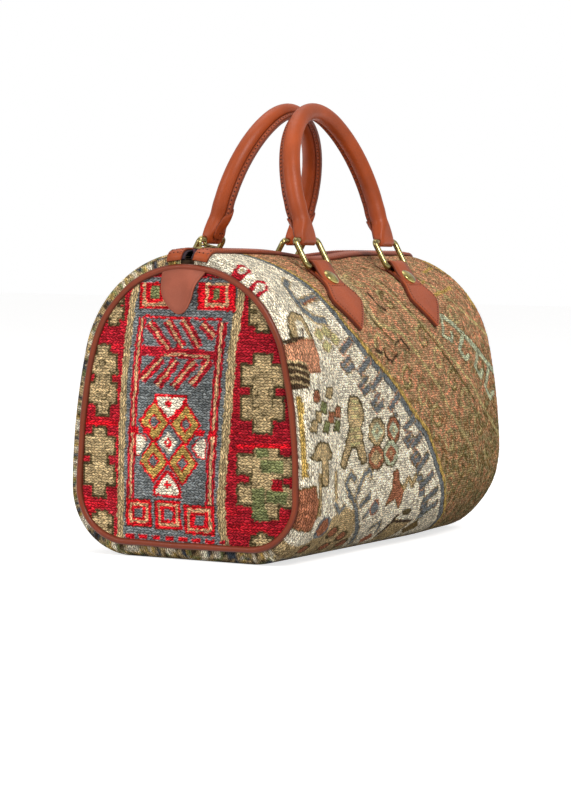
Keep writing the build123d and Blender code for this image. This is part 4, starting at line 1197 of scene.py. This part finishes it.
def repeated(name, kind, lines, pitch, size, finish):
    """A plain mesh of small shapes along lines, each line given as points with upward directions."""
    if kind not in TREES:
        TREES[kind] = repeat_tree(f"Bag_{kind}", SMALL_SHAPES[kind])
    tree = TREES[kind]
    points, ups, edges = [], [], []
    for path, up in lines:
        start = len(points)
        points += [tuple(np.asarray(p) * MM) for p in path]
        ups += [tuple(u) for u in up]
        edges += [(start + i, start + i + 1) for i in range(len(path) - 1)]
    mesh = bpy.data.meshes.new(name + "_lines")
    mesh.from_pydata(points, edges, [])
    layer = mesh.attributes.new("up", "FLOAT_VECTOR", "POINT")
    layer.data.foreach_set("vector", np.asarray(ups, np.float32).reshape(-1))
    guide = placed_object(name + "_lines", mesh)
    modifier = guide.modifiers.new("Repeat", "NODES")
    modifier.node_group = tree
    length, width, height = size
    values = {"Pitch": pitch * MM, "Length": length * MM, "Width": width * MM, "Height": height * MM,
              "Finish": finish_of(finish)}
    for item in tree.interface.items_tree:
        if item.item_type == "SOCKET" and item.in_out == "INPUT" and item.name in values:
            modifier[item.identifier] = values[item.name]
    bpy.context.view_layer.update()
    result = bpy.data.meshes.new_from_object(guide.evaluated_get(bpy.context.evaluated_depsgraph_get()))
    result.name = name
    bpy.data.objects.remove(guide)
    return placed_object(name, result)


# Pieces
def across_bag(u):
    """Place along the bag from distance over the cloth, which turns in at the ends."""
    straight = np.minimum(np.abs(u), STRAIGHT_HALF)
    turn = np.minimum(np.clip(np.abs(u) - STRAIGHT_HALF, 0, None) / ROUNDING, math.pi / 2)
    return np.sign(u) * (straight + ROUNDING * np.sin(turn))


def everywhere(u, v):
    """Keeps every stitch."""
    return np.ones(u.shape, bool)


# Fields of the wrap from the crown down: side, first and last distance, and step. The first is the fine one
WRAP_FIELDS = ((1, 14.0, 276.0, 1.15), (1, 6.0, 14.0, 2.6), (1, 276.0, BASE_MIDDLE, 2.6),
               (-1, 6.0, BASE_MIDDLE, 2.5))


def make_carpet():
    """The woven wrap, fine on the front and plainer on the rear and base."""
    stitch_size = (size_of("wrap_stitch"), size_of("wrap_row"))
    half = STRAIGHT_HALF + ROUNDING * math.pi / 2
    patches = []
    for number, (side, low, high, step) in enumerate(WRAP_FIELDS):
        def place(u, v, out):
            return surface(across_bag(u), side * v, out)

        def colour(u, v):
            return front_colours(across_bag(u), side * v)

        fine = number == 0
        patches.append(woven_patch(
            even_edges(-half, half, 1.1 * step), even_edges(low, high, step), place, colour, everywhere,
            size_of("yarn_relief") if fine else 0.0, 3 + number, side == 1, stitch_size,
            front_turned if fine else None))
    thing = woven_object("Carpet_Wrap", patches, finish_of("wool"))
    yarn = [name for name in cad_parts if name.startswith("wrap_")]
    rides(thing, "bag", "carpet_ground", "carpet_wrap", *yarn)


def panel_place(end):
    """Maps right, height and relief on an end panel to its place."""
    def place(u, v, out):
        height = np.clip(v, 0, BODY_TOP)
        bulge = 2.6 * ease(1 - np.abs(u) / 92) * ease((height - 8) / 60) * ease((212 - height) / 60)
        ripple = 0.5 * np.sin(u / 17 + 0.5) * np.sin(height / 21)
        x = -SEAM_X - out - bulge - ripple * ease(bulge / 2)
        points = np.stack([x, -u, v], axis=-1)
        if end == "far":
            points = points * np.array([-1.0, -1.0, 1.0])
        return soften(points)
    return place


def make_end_panel(end):
    """A woven end panel, its rows of stitches level."""
    row = size_of("end_row")
    seam_y, seam_z, _, _ = seam_outline(240, 0.9)
    seam = np.column_stack([seam_y, seam_z])
    layers = end_pattern() if end == "near" else end_bands()
    patch = woven_patch(
        even_edges(-89.0, 89.0, 0.95), np.arange(2 * row, 211.5, row / 2), panel_place(end),
        lambda u, v: end_colours(u, v, layers, 21), lambda u, v: within(-u, v, seam),
        size_of("yarn_relief") * 1.2, 9, False, (size_of("end_stitch"), row), end_turned)
    thing = woven_object(f"{end.capitalize()}_End_Panel", [patch], finish_of("wool"))
    yarn = [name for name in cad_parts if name.startswith("end_")] if end == "near" else []
    rides(thing, "bag", "crimson_carpet", f"{end}_end_panel", *yarn)


PIPING_POINTS = 280
PIPING_SIDES = 14


def make_piping(end):
    """Leather piping round an end seam, slightly uneven as sewn leather is."""
    side = -1.0 if end == "near" else 1.0
    count = PIPING_POINTS
    y, z, across, up = seam_outline(count, 1.0)
    travel = np.linspace(0, 2 * math.pi, count, endpoint=False)
    wobble = 0.22 * np.sin(7 * travel + 1) + 0.12 * np.sin(17 * travel)
    centre = soften(np.column_stack([
        np.full(count, side * (SEAM_X + 0.6)), y + across * wobble, z + up * wobble]))
    path = [(centre[i], (side, 0, 0), (0, across[i], up[i])) for i in range(count)]
    ring = circle(1.0, PIPING_SIDES)
    radius = 2.4 + 0.1 * np.sin(11 * travel + 2)
    sections = [ring * radius[i] for i in range(count)]
    thing = swept(f"{end.capitalize()}_Piping", path, sections, finish_of("piping"), closed=True)
    rings = np.tile(ring, (count, 1))
    # Painted shade: both flanks of the piping, beside its face, are painted darker with the edge colour.
    store_values(thing, "edge_wear_and_shade", np.clip(2.4 * np.abs(rings[:, 1]) - 1.1 - 0.3 * rings[:, 0], 0, 1))
    rides(thing, "bag", "tan_leather", f"{end}_piping")


STRIP_STATIONS = 150
# Sections across the crown from the middle out: distance and height above the carpet
BINDING = [(5.2, 0.85), (5.0, 1.2), (5.0, 1.9), (5.3, 2.4), (6.0, 2.65), (11.0, 2.75), (16.5, 2.65),
           (17.2, 2.4), (17.5, 1.9), (17.5, 0.5), (17.2, 0.3), (11.0, 0.82)]
BINDING_WEAR = [1, 0.9, 0.7, 0.35, 0.08, 0, 0.08, 0.35, 0.7, 1, 1, 0.5]
TAPE = [(2.75, 0.06), (2.72, 0.45), (2.8, 0.78), (6.0, 0.8), (16.4, 0.8), (16.4, 0.06)]


def crown_strip(name, profile, side, material, x_half):
    """A strip that follows the crown beside the zip: a closed profile of distance and height."""
    profile = np.asarray(profile, float)
    points = [surface(np.full(len(profile), x), side * profile[:, 0], profile[:, 1])
              for x in np.linspace(-x_half, x_half, STRIP_STATIONS)]
    faces = tube_faces(STRIP_STATIONS, len(profile), False)
    return recalculated(mesh_object(name, np.vstack(points), faces, material))


def make_zip_tapes():
    """Leather bindings beside the zip, with the tapes under them."""
    for side, label in ((1, "Front"), (-1, "Rear")):
        strip = crown_strip(f"{label}_Zip_Binding", BINDING, side, finish_of("leather"), 170.4)
        store_values(strip, "edge_wear_and_shade", np.tile(BINDING_WEAR, STRIP_STATIONS))
        rides(strip, "bag", "tan_leather", f"{label.lower()}_zip_binding")
        cloth = crown_strip(f"{label}_Zip_Tape", TAPE, side, finish_of("tape"), 170.0)
        rides(cloth, "bag", "zip_tape", f"{label.lower()}_zip_tape")


def line_on_crown(distance, out, x_low, x_high, count=90):
    """A sewing line along the bag, with the directions that point away from it."""
    x = np.linspace(x_low, x_high, count)
    low = surface(x, np.full(count, float(distance)), out)
    high = surface(x, np.full(count, float(distance)), out + 1)
    return low, high - low


TEETH_ROW = 1.7


def make_zip_teeth():
    """Two rows of moulded teeth that follow the crown."""
    for side, label, shift in ((1, "front", 0.75), (-1, "rear", 2.75)):
        low, up = line_on_crown(TEETH_ROW * side, 0.42, -158.0 + shift, 157.5, 60)
        low[:, 1] = -TEETH_ROW * side
        name = f"{label.capitalize()}_Zip_Teeth"
        teeth = repeated(name, "teeth", [(low, up)], 4.0, (1.9, 2.5, 3.2), "nylon")
        rides(teeth, "bag", "zip_teeth", f"{label}_zip_teeth")


def make_lining():
    """The cotton lining, a little inside the carpet."""
    x = np.linspace(-168, 168, 60)
    d = np.concatenate([np.linspace(7, BASE_MIDDLE, 60), -np.linspace(BASE_MIDDLE, 7, 60)[1:]])
    grid_x, grid_d = np.meshgrid(x, d, indexing="ij")
    points = surface(grid_x.ravel(), grid_d.ravel(), -3.2)
    points[:, 0] *= 0.985
    columns, rows = grid_x.shape
    faces = []
    for i in range(columns - 1):
        for j in range(rows - 1):
            faces.append((i * rows + j, i * rows + j + 1, (i + 1) * rows + j + 1, (i + 1) * rows + j))
    near_rim = range(rows)
    far_rim = range((columns - 1) * rows, columns * rows)
    faces += [tuple(near_rim), tuple(reversed(far_rim))]
    points[:, 2] = np.maximum(points[:, 2], 2.5)
    thing = mesh_object("Lining", points, faces, finish_of("lining"))
    smooth_by_angle(thing, 40)
    solid = thing.modifiers.new("Thickness", "SOLIDIFY")
    solid.thickness = 0.6 * MM
    solid.offset = 0
    rides(thing, "bag", "lining_cotton", "lining")


# A cut edge of leather: inset and height
LEATHER_EDGE = [(0.5, 0.0), (0.1, 0.25), (0.0, 0.7), (0.0, 1.1), (0.2, 1.5), (0.7, 1.75), (1.5, 1.8)]
TAB = [(-18.6, 209), (-20.6, 198), (-20.2, 190), (-16.4, 183), (-10.0, 177), (-4.0, 174.6), (2.4, 178),
       (6.6, 185), (8.4, 193), (11.6, 200), (16.6, 206), (17.6, 209)]


def make_end_tab(end):
    """The tab sewn into the seam, its free edge lifting off the panel."""
    panel = panel_place(end)

    def place(u, v, h):
        lift = 4.2 * ease((u + 4) / 16) * ease((207 - v) / 14) + 0.7 * ease((196 - v) / 20)
        return panel(u, v, 0.5 + lift + h)

    shape = resampled(rounded(TAB, 2), 1.1)
    thing = plate(f"{end.capitalize()}_End_Tab", shape, LEATHER_EDGE, 2.2, place, finish_of("tab"))
    rides(thing, "bag", "tan_leather", f"{end}_end_tab")


# A doubled chape's edge, with the joint between its two leathers
CHAPE_EDGE = [(0.45, 0.0), (0.1, 0.3), (0.0, 0.7), (0.0, 1.3), (0.32, 1.58), (0.32, 1.72), (0.0, 2.0),
              (0.0, 2.6), (0.25, 3.05), (0.8, 3.28), (1.7, 3.3)]
CHAPE_TOP = 3.3
CHAPE_HALF = [(13.0, 54.0), (13.0, 62.0), (13.6, 67.0), (16.0, 72.5), (20.5, 78.5), (22.6, 84.0),
              (21.6, 88.5), (2.2, 108.0), (0.0, 109.6)]
# The fold round the ring, as radius and angle from the crown's centre
FOLD_PATH = [(93.0, 0.76), (93.2, 0.70), (94.6, 0.635), (97.0, 0.578), (97.9, 0.548), (97.4, 0.52),
             (95.4, 0.5155), (93.0, 0.522), (91.45, 0.545), (91.3, 0.60), (91.4, 0.70), (91.5, 0.76)]
FOLD_SECTION = np.array([(-12.8, -0.86), (12.8, -0.86), (13.05, -0.5), (13.05, 0.5), (12.8, 0.86), (6.0, 0.9),
                         (-6.0, 0.9), (-12.8, 0.86), (-13.05, 0.5), (-13.05, -0.5)])
FOLD_WEAR = [0.8, 0.8, 1, 1, 0.4, 0, 0, 0.4, 1, 1]
SEAM_INSET = 2.4


def chape_shape():
    """Outline of a chape: a strap that widens to a pointed leaf."""
    left = [(-u, v) for u, v in reversed(CHAPE_HALF[:-1])]
    return resampled(rounded(CHAPE_HALF + left, 2), 1.2)


def crown_polar(side, x, radius, angle):
    """Place by radius and angle from the crown's centre, to the front for side 1."""
    y, z = -side * radius * np.sin(angle), CROWN_Z + radius * np.cos(angle)
    return np.stack([x + 0 * radius, y, z], axis=-1)


def unit_steps(line):
    """Direction of a line at each of its points."""
    direction = np.gradient(line, axis=0)
    return direction / np.linalg.norm(direction, axis=1)[:, None]


def leaf_seam(shape):
    """The sewing line inside a chape's leaf, from one side of the strap round to the other."""
    inner = shape - loop_normals(shape) * np.sign(signed_area(shape)) * SEAM_INSET
    rows = inner[inner[:, 1] > 64]
    rows = rows[np.argsort(np.arctan2(rows[:, 1] - 80, rows[:, 0]))]
    gap = np.argmax(np.linalg.norm(np.roll(rows, -1, axis=0) - rows, axis=1))
    return np.roll(rows, -(gap + 1), axis=0)


def make_fold(title, side, x):
    """The strap that goes round the ring's lower bar."""
    path = rounded(FOLD_PATH, 2, closed=False)
    centre = crown_polar(side, np.full(len(path), x), path[:, 0], path[:, 1])
    normal = np.cross(X_AXIS, unit_steps(centre))
    stations = [(centre[i], X_AXIS, normal[i]) for i in range(len(centre))]
    strap = swept(title, stations, [FOLD_SECTION] * len(centre), finish_of("leather"))
    store_values(strap, "edge_wear_and_shade", np.tile(FOLD_WEAR, len(centre)))
    return strap


def make_chapes():
    """Leather folded round each ring and laid down the shoulder, and its stitching."""
    shape = chape_shape()
    strap_seam = np.column_stack([np.linspace(-10.5, 10.5, 12), np.full(12, 72.0)])
    lines = []
    for side, front in ((1, "front"), (-1, "rear")):
        for hand, x in (("left", -FITTING_X), ("right", FITTING_X)):
            def leaf(u, v, h):
                return crown_polar(side, x + u, CROWN_RADIUS + 0.5 + h, v / (CROWN_RADIUS + 2.2))

            title = f"{front.capitalize()}_{hand.capitalize()}_Chape"
            body = plate(title, shape, CHAPE_EDGE, 2.6, leaf, finish_of("leather"))
            strap = make_fold(title + "_Fold", side, x)
            rides(body, "bag", "tan_leather", f"{front}_{hand}_chape")
            rides(strap, "bag", "tan_leather")
            for line in (leaf_seam(shape), strap_seam):
                low = leaf(line[:, 0], line[:, 1], np.full(len(line), CHAPE_TOP))
                high = leaf(line[:, 0], line[:, 1], np.full(len(line), CHAPE_TOP + 1))
                lines.append((low, high - low))
    sew("Chape", lines, 2.7, "bag", (1.9, 0.55, 0.45))


AWL_HOLE_SHADE = (1.5, 1.3, 0.4)


def sew(title, lines, pitch, body, size=(2.2, 0.62, 0.5)):
    """Thread stitches along lines, with dark lumps between them as painted shade in the awl holes."""
    thread = repeated(f"{title}_Stitches", "stitches", lines, pitch, size, "thread")
    rides(thread, body, "tan_leather")
    holes = []
    for path, up in lines:
        path, up = np.asarray(path), np.asarray(up)
        places = np.linspace(pitch / 2, travelled(path)[-1], len(path))
        holes.append((at_distances(path, path, places), at_distances(path, up, places)))
    # Painted shade: dark lumps stand for the shade inside the awl holes.
    dark = repeated(f"{title}_Awl_Holes", "stitches", holes, pitch, AWL_HOLE_SHADE, "hole")
    rides(dark, body, "tan_leather")


BINDING_SEAM = 2.72


def make_sewing():
    """Stitches along the zip bindings and across their near ends."""
    lines = []
    for side in (1, -1):
        for distance in (6.6, 15.9):
            lines.append(line_on_crown(side * distance, BINDING_SEAM, -168, 168))
        for x in (-167.4, -163.6):
            distance = np.linspace(7.2, 15.4, 12)
            low = surface(np.full(12, x), side * distance, BINDING_SEAM)
            high = surface(np.full(12, x), side * distance, BINDING_SEAM + 1)
            lines.append((low, high - low))
    sew("Binding", lines, size_of("thread_pitch"), "bag")


def handle_centre():
    """Centre line of a handle as places along the bag and heights above its bars."""
    half = FITTING_X
    crown_height = HANDLE_RISE - HANDLE_CROWN
    fall = crown_height - HANDLE_LEG
    side = (half**2 + fall**2 - HANDLE_CROWN**2) / (2 * (half - HANDLE_CROWN))
    turn = math.atan2(fall, side - half)
    points = [(-half, h) for h in np.linspace(-FOLD_RADIUS + 0.02, HANDLE_LEG, 34)]
    for a in np.linspace(0, turn, 34)[1:]:
        points.append((side - half - side * math.cos(a), HANDLE_LEG + side * math.sin(a)))
    for a in np.linspace(turn, math.pi / 2, 28)[1:]:
        points.append((-HANDLE_CROWN * math.cos(a), crown_height + HANDLE_CROWN * math.sin(a)))
    points = np.array(points)
    mirrored = points[:-1][::-1] * np.array([-1.0, 1.0])
    return np.vstack([points, mirrored])


def fin_growth(arch):
    """How much of the sewn fin stands at a distance up the leg from the bar."""
    return float(ease((arch - FIN_START) / (FIN_END - FIN_START)))


def handle_section(arch):
    """Cross-section up the leg: a foot folded round the bar, then the roll with its sewn fin."""
    radius = size_of("handle_radius")
    if arch < 0:
        half_width, thickness, power = FOOT_HALF, math.sqrt(max(FOLD_RADIUS**2 - arch**2, 0.12)), 5.0
    else:
        narrow = float(ease((arch - 1.0) / 16.0))
        half_width = FOOT_HALF + (radius - FOOT_HALF) * narrow
        thickness = FOLD_RADIUS + (radius - FOLD_RADIUS) * float(ease(arch / 15.0))
        power = 5.0 - 3.0 * narrow
    gap = math.asin(min(0.9, (FIN_HALF + 0.25) / half_width))
    turn = np.linspace(math.pi / 2 + gap, 2.5 * math.pi - gap, ROLL_SIDES)
    c, s = np.cos(turn), np.sin(turn)
    reach = (np.abs(c) ** power + np.abs(s) ** power) ** (-1 / power)
    roll = np.column_stack([half_width * reach * c, thickness * reach * s])
    foot = roll[-1, 1]
    rise = thickness + FIN_DEPTH * fin_growth(arch)
    middle = foot + 0.45 * (rise - foot)
    half_fin = [(FIN_HALF, foot - 0.15), (FIN_HALF, middle), (FIN_HALF, rise - 0.5), (1.35, rise - 0.1),
                (0.5, rise)]
    fin = half_fin + [(-across, up) for across, up in reversed(half_fin)]
    return np.vstack([roll, fin])


def handle_wear(arch, count):
    """How burnished each point of a cross-section is: the fin's edge and its foot."""
    wear = np.zeros(count)
    wear[ROLL_SIDES + 2:ROLL_SIDES + 8] = 0.7 * fin_growth(arch)
    wear[[0, ROLL_SIDES - 1, ROLL_SIDES, ROLL_SIDES + 9]] = 0.8 * fin_growth(arch)
    return wear


def make_handle(front):
    """A rolled handle: its feet folded round the ring bars and a sewn fin towards the other handle."""
    side = 1 if front == "front" else -1
    radius = size_of("handle_radius")
    centre = handle_centre()
    tangent = unit_steps(centre)
    travel = travelled(centre)
    arch = np.minimum(travel, travel[-1] - travel) - FOLD_RADIUS
    lean_up = np.array([0.0, side * math.sin(HANDLE_LEAN), math.cos(HANDLE_LEAN)])
    inward = np.array([0.0, side * math.cos(HANDLE_LEAN), -math.sin(HANDLE_LEAN)])
    origin = np.array([0.0, side * UPPER_BAR[0], UPPER_BAR[1]])
    normals = tangent[:, 1:2] * X_AXIS - tangent[:, :1] * lean_up

    def spot(u, h, b):
        return origin + np.outer(u, X_AXIS) + np.outer(h, lean_up) + np.outer(b, inward)

    places = spot(centre[:, 0], centre[:, 1], 0 * travel)
    path = [(places[i], normals[i], inward) for i in range(len(centre))]
    sections, wear = [], []
    for i in range(len(centre)):
        section = handle_section(arch[i])
        strength = float(ease((arch[i] - 8) / 10)) * float(ease((50 - arch[i]) / 30))
        crease = 0.10 * math.sin(travel[i] / 2.1) * strength
        sections.append(section * (1 + crease / 6.5))
        wear.append(handle_wear(arch[i], len(section)))
    title = front.capitalize()
    body = f"{front}_handle"
    thing = swept(f"{title}_Handle", path, sections, finish_of("leather"))
    smooth_by_angle(thing, 55)
    store_values(thing, "edge_wear_and_shade", np.concatenate(wear))
    rides(thing, body, "tan_leather", body)
    rows = []
    keep = np.flatnonzero(arch > 4.0)
    grown = np.array([fin_growth(arch[i]) for i in keep])[:, None]
    lift = radius * 0.965 + 0.52 * FIN_DEPTH * grown
    for sign in (-1, 1):
        line = places[keep] + normals[keep] * (sign * (FIN_HALF + 0.02)) + inward * lift
        rows.append((line, normals[keep] * sign * grown + inward * (1 - grown)))
    sew(f"{title}_Handle", rows, 3.3, body)
    shape = resampled(rounded(TONGUES[front], 2), 1.1)
    for hand, x in (("Left", -FITTING_X), ("Right", FITTING_X)):
        def tongue(u, v, h):
            reach = FOLD_RADIUS + (radius - FOLD_RADIUS) * ease(v / 15)
            grown = np.array([fin_growth(value) for value in v])
            over_fin = FIN_DEPTH * grown * np.exp(-((u / 2.6) ** 4))
            hug = np.sqrt(np.maximum(reach**2 - (0.62 * u * ease(v / 12)) ** 2, 1.0)) + over_fin
            return spot(x + u, v, hug - 0.15 + h * 0.8)

        flap = plate(f"{title}_Handle_Tongue_{hand}", shape, LEATHER_EDGE, 1.6, tongue, finish_of("leather"))
        rides(flap, body, "tan_leather")


RIVET_SIDES = 36
RIVET_SEAT = 93.75
RIVET_ANGLE = math.radians(39.5)
# Radius and height up the dome, which ends in a point at its top
RIVET_RINGS = [(6.8, 0.0), (7.2, 0.35), (7.22, 0.8), (6.8, 1.6), (5.8, 2.3), (4.5, 2.85), (3.0, 3.18),
               (1.5, 3.34)]
RIVET_HEIGHT = 3.38


def make_rivets():
    """Domed brass rivet heads through the chapes."""
    points, faces = [], []
    turn = np.linspace(0, 2 * math.pi, RIVET_SIDES, endpoint=False)
    for side in (1, -1):
        out = np.array([0.0, -side * math.sin(RIVET_ANGLE), math.cos(RIVET_ANGLE)])
        down = np.array([0.0, -side * math.cos(RIVET_ANGLE), -math.sin(RIVET_ANGLE)])
        for x in (-FITTING_X, FITTING_X):
            foot = np.array([x, 0.0, CROWN_Z]) + out * RIVET_SEAT
            start = len(points)
            for r, h in RIVET_RINGS:
                points += [foot + out * h + r * (math.cos(a) * down + math.sin(a) * X_AXIS) for a in turn]
            points += [foot, foot + out * RIVET_HEIGHT]
            low, high = len(points) - 2, len(points) - 1
            last = start + (len(RIVET_RINGS) - 1) * RIVET_SIDES
            pairs = [(k, (k + 1) % RIVET_SIDES) for k in range(RIVET_SIDES)]
            for ring in range(start, last, RIVET_SIDES):
                above = ring + RIVET_SIDES
                faces += [(ring + k, ring + n, above + n, above + k) for k, n in pairs]
            for k, n in pairs:
                faces += [(low, start + n, start + k), (high, last + k, last + n)]
    thing = recalculated(mesh_object("Rivets", points, faces, finish_of("rivet")))
    smooth_by_angle(thing, 50)
    rides(thing, "bag", "antique_brass", "rivets")


def dress_hardware():
    """Gives the CAD nodes that stay in view their finishes."""
    rings = [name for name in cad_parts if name.endswith("_ring")]
    finishes = {
        "brass": ["zip_slider", "zip_pull", "rivet_washers"] + rings,
        "nylon": ["zip_top_stops", "zip_bottom_stop"],
        "board": ["base_board"],
        "cord": ["front_handle_core", "rear_handle_core"],
    }
    for finish, names in finishes.items():
        for name in names:
            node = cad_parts[name]
            for slot in node.material_slots:
                slot.material = finish_of(finish)
            if not node.material_slots:
                node.data.materials.append(finish_of(finish))
            smooth_by_angle(node, 35)


FLOOR_REACH = 9000
FLOOR_COLOUR = (0.66, 0.65, 0.64, 1)
WHITE = (1, 1, 1, 1)
FLOOR_GLOW = 0.72
WORLD_LEVEL = 0.36
# Lamps: name, place in metres, size and power
LAMPS = (("Key", (-1.5, -1.9, 2.1), 1.0, 56.0), ("Fill", (-2.4, 1.2, 1.3), 1.2, 20.0),
         ("Top", (0.4, 0.6, 2.6), 2.0, 16.0))
LAMP_AIM = Vector((0, 0, 0.12))
CAMERA_PLACE = (-1.8558, -0.9517, 0.2220)
CAMERA_RIGHT = (0.46093, -0.88731, 0.01524)
CAMERA_FORWARD = (0.88646, 0.45954, -0.05484)
CAMERA_LENS = 172.3
CAMERA_SENSOR = 36.0
CAMERA_REACH = 50


def make_floor():
    """A pale floor that is white where it is seen."""
    corners = [(-FLOOR_REACH, -FLOOR_REACH, 0), (FLOOR_REACH, -FLOOR_REACH, 0), (FLOOR_REACH, FLOOR_REACH, 0),
               (-FLOOR_REACH, FLOOR_REACH, 0)]
    floor = mesh_object("Floor", corners, [(0, 1, 2, 3)], None, smooth=False)
    material, tree, shader = new_material("Pale_Floor")
    for name, value in (("Base Color", FLOOR_COLOUR), ("Roughness", 0.9), ("Specular IOR Level", 0.1),
                        ("Emission Color", WHITE)):
        shader.inputs[name].default_value = value
    rays = tree.nodes.new("ShaderNodeLightPath").outputs
    mirrored = maths(tree, "MAXIMUM", rays["Is Glossy Ray"], rays["Is Transmission Ray"])
    shown = maths(tree, "MAXIMUM", rays["Is Camera Ray"], mirrored)
    tree.links.new(maths(tree, "MULTIPLY", shown, FLOOR_GLOW), shader.inputs["Emission Strength"])
    floor.data.materials.append(material)


def make_world(scene):
    """A white world that lights the bag evenly and is brighter where it is seen."""
    world = bpy.data.worlds.new("Studio")
    scene.world = world
    world.use_nodes = True
    tree = world.node_tree
    back = tree.nodes["Background"]
    rays = tree.nodes.new("ShaderNodeLightPath").outputs
    mirrored = maths(tree, "MULTIPLY", rays["Is Glossy Ray"], 0.5)
    shown = maths(tree, "MAXIMUM", mirrored, rays["Is Transmission Ray"])
    shown = maths(tree, "MAXIMUM", rays["Is Camera Ray"], shown)
    tree.links.new(ranged(tree, shown, 0, 1, WORLD_LEVEL, 1.0), back.inputs["Strength"])
    back.inputs["Color"].default_value = WHITE


def make_lamps(scene):
    """Three round lamps aimed at the bag."""
    for name, place, size, power in LAMPS:
        lamp = bpy.data.lights.new(name, "AREA")
        lamp.shape = "DISK"
        lamp.size = size
        lamp.energy = power
        thing = bpy.data.objects.new(name, lamp)
        thing.location = place
        thing.rotation_euler = (LAMP_AIM - Vector(place)).to_track_quat("-Z", "Y").to_euler()
        scene.collection.objects.link(thing)


def make_camera(scene):
    """The camera at the photograph's place."""
    data = bpy.data.cameras.new("Camera")
    data.sensor_fit = "HORIZONTAL"
    data.sensor_width = CAMERA_SENSOR
    data.lens = CAMERA_LENS
    data.clip_end = CAMERA_REACH
    camera = bpy.data.objects.new("Camera", data)
    scene.collection.objects.link(camera)
    right = Vector(CAMERA_RIGHT).normalized()
    forward = Vector(CAMERA_FORWARD).normalized()
    up = right.cross(forward).normalized()
    turn = Matrix((right, up, -forward)).transposed()
    camera.matrix_world = Matrix.Translation(CAMERA_PLACE) @ turn.to_4x4()
    scene.camera = camera


def make_stage():
    """Floor, light and the camera at the photograph's place."""
    scene = bpy.context.scene
    make_floor()
    make_world(scene)
    make_lamps(scene)
    make_camera(scene)
    scene.view_settings.view_transform = "Standard"


# Operators
class BAG_OT_carpet(bpy.types.Operator):
    """Weave the wrap and both end panels"""
    bl_idname = "carpet_bag.carpet"
    bl_label = "Carpet"

    def execute(self, context):
        make_carpet()
        make_end_panel("near")
        make_end_panel("far")
        return {"FINISHED"}


class BAG_OT_piping(bpy.types.Operator):
    """Sew the piping and the tab on each end"""
    bl_idname = "carpet_bag.piping"
    bl_label = "Piping and Tabs"

    def execute(self, context):
        for end in ("near", "far"):
            make_piping(end)
            make_end_tab(end)
        return {"FINISHED"}


class BAG_OT_zip(bpy.types.Operator):
    """Lay the zip's tapes, bindings, teeth and stitches"""
    bl_idname = "carpet_bag.zip"
    bl_label = "Zip"

    def execute(self, context):
        make_zip_tapes()
        make_zip_teeth()
        make_sewing()
        return {"FINISHED"}


class BAG_OT_lining(bpy.types.Operator):
    """Put the lining inside"""
    bl_idname = "carpet_bag.lining"
    bl_label = "Lining"

    def execute(self, context):
        make_lining()
        return {"FINISHED"}


class BAG_OT_chapes(bpy.types.Operator):
    """Fold the leather chapes round the rings"""
    bl_idname = "carpet_bag.chapes"
    bl_label = "Chapes"

    def execute(self, context):
        make_chapes()
        make_rivets()
        return {"FINISHED"}


class BAG_OT_handles(bpy.types.Operator):
    """Roll and sew the two handles"""
    bl_idname = "carpet_bag.handles"
    bl_label = "Handles"

    def execute(self, context):
        make_handle("front")
        make_handle("rear")
        return {"FINISHED"}


class BAG_OT_hardware(bpy.types.Operator):
    """Finish the rings, slider, stops, board and cords"""
    bl_idname = "carpet_bag.hardware"
    bl_label = "Hardware"

    def execute(self, context):
        dress_hardware()
        return {"FINISHED"}


class BAG_OT_stage(bpy.types.Operator):
    """Set the floor, the light and the camera"""
    bl_idname = "carpet_bag.stage"
    bl_label = "Stage"

    def execute(self, context):
        make_stage()
        return {"FINISHED"}


OPERATORS = (BAG_OT_stage, BAG_OT_carpet, BAG_OT_piping, BAG_OT_zip, BAG_OT_lining, BAG_OT_chapes,
             BAG_OT_handles, BAG_OT_hardware)


class BAG_PT_panel(bpy.types.Panel):
    """Lists the bag's sizes, colours and pieces"""
    bl_idname = "BAG_PT_panel"
    bl_label = "Carpet Bag"
    bl_space_type = "VIEW_3D"
    bl_region_type = "UI"
    bl_category = "Carpet Bag"

    def draw(self, context):
        layout = self.layout
        for group in (context.scene.carpet_bag_sizes, context.scene.carpet_bag_colours):
            for name in group.__annotations__:
                layout.prop(group, name)
        for operator in OPERATORS:
            layout.operator(operator.bl_idname)


CLASSES = (CarpetBagSizes, CarpetBagColours) + OPERATORS + (BAG_PT_panel,)


def register():
    """Registers the classes and the scene's sizes and colours."""
    for item in CLASSES:
        bpy.utils.register_class(item)
    bpy.types.Scene.carpet_bag_sizes = bpy.props.PointerProperty(type=CarpetBagSizes)
    bpy.types.Scene.carpet_bag_colours = bpy.props.PointerProperty(type=CarpetBagColours)


def unregister():
    """Takes away what register added."""
    del bpy.types.Scene.carpet_bag_colours
    del bpy.types.Scene.carpet_bag_sizes
    for item in reversed(CLASSES):
        bpy.utils.unregister_class(item)


def main():
    """Builds the bag piece by piece."""
    register()
    for operator in OPERATORS:
        getattr(bpy.ops.carpet_bag, operator.bl_idname.split(".")[1])()


if __name__ == "__main__":
    main()
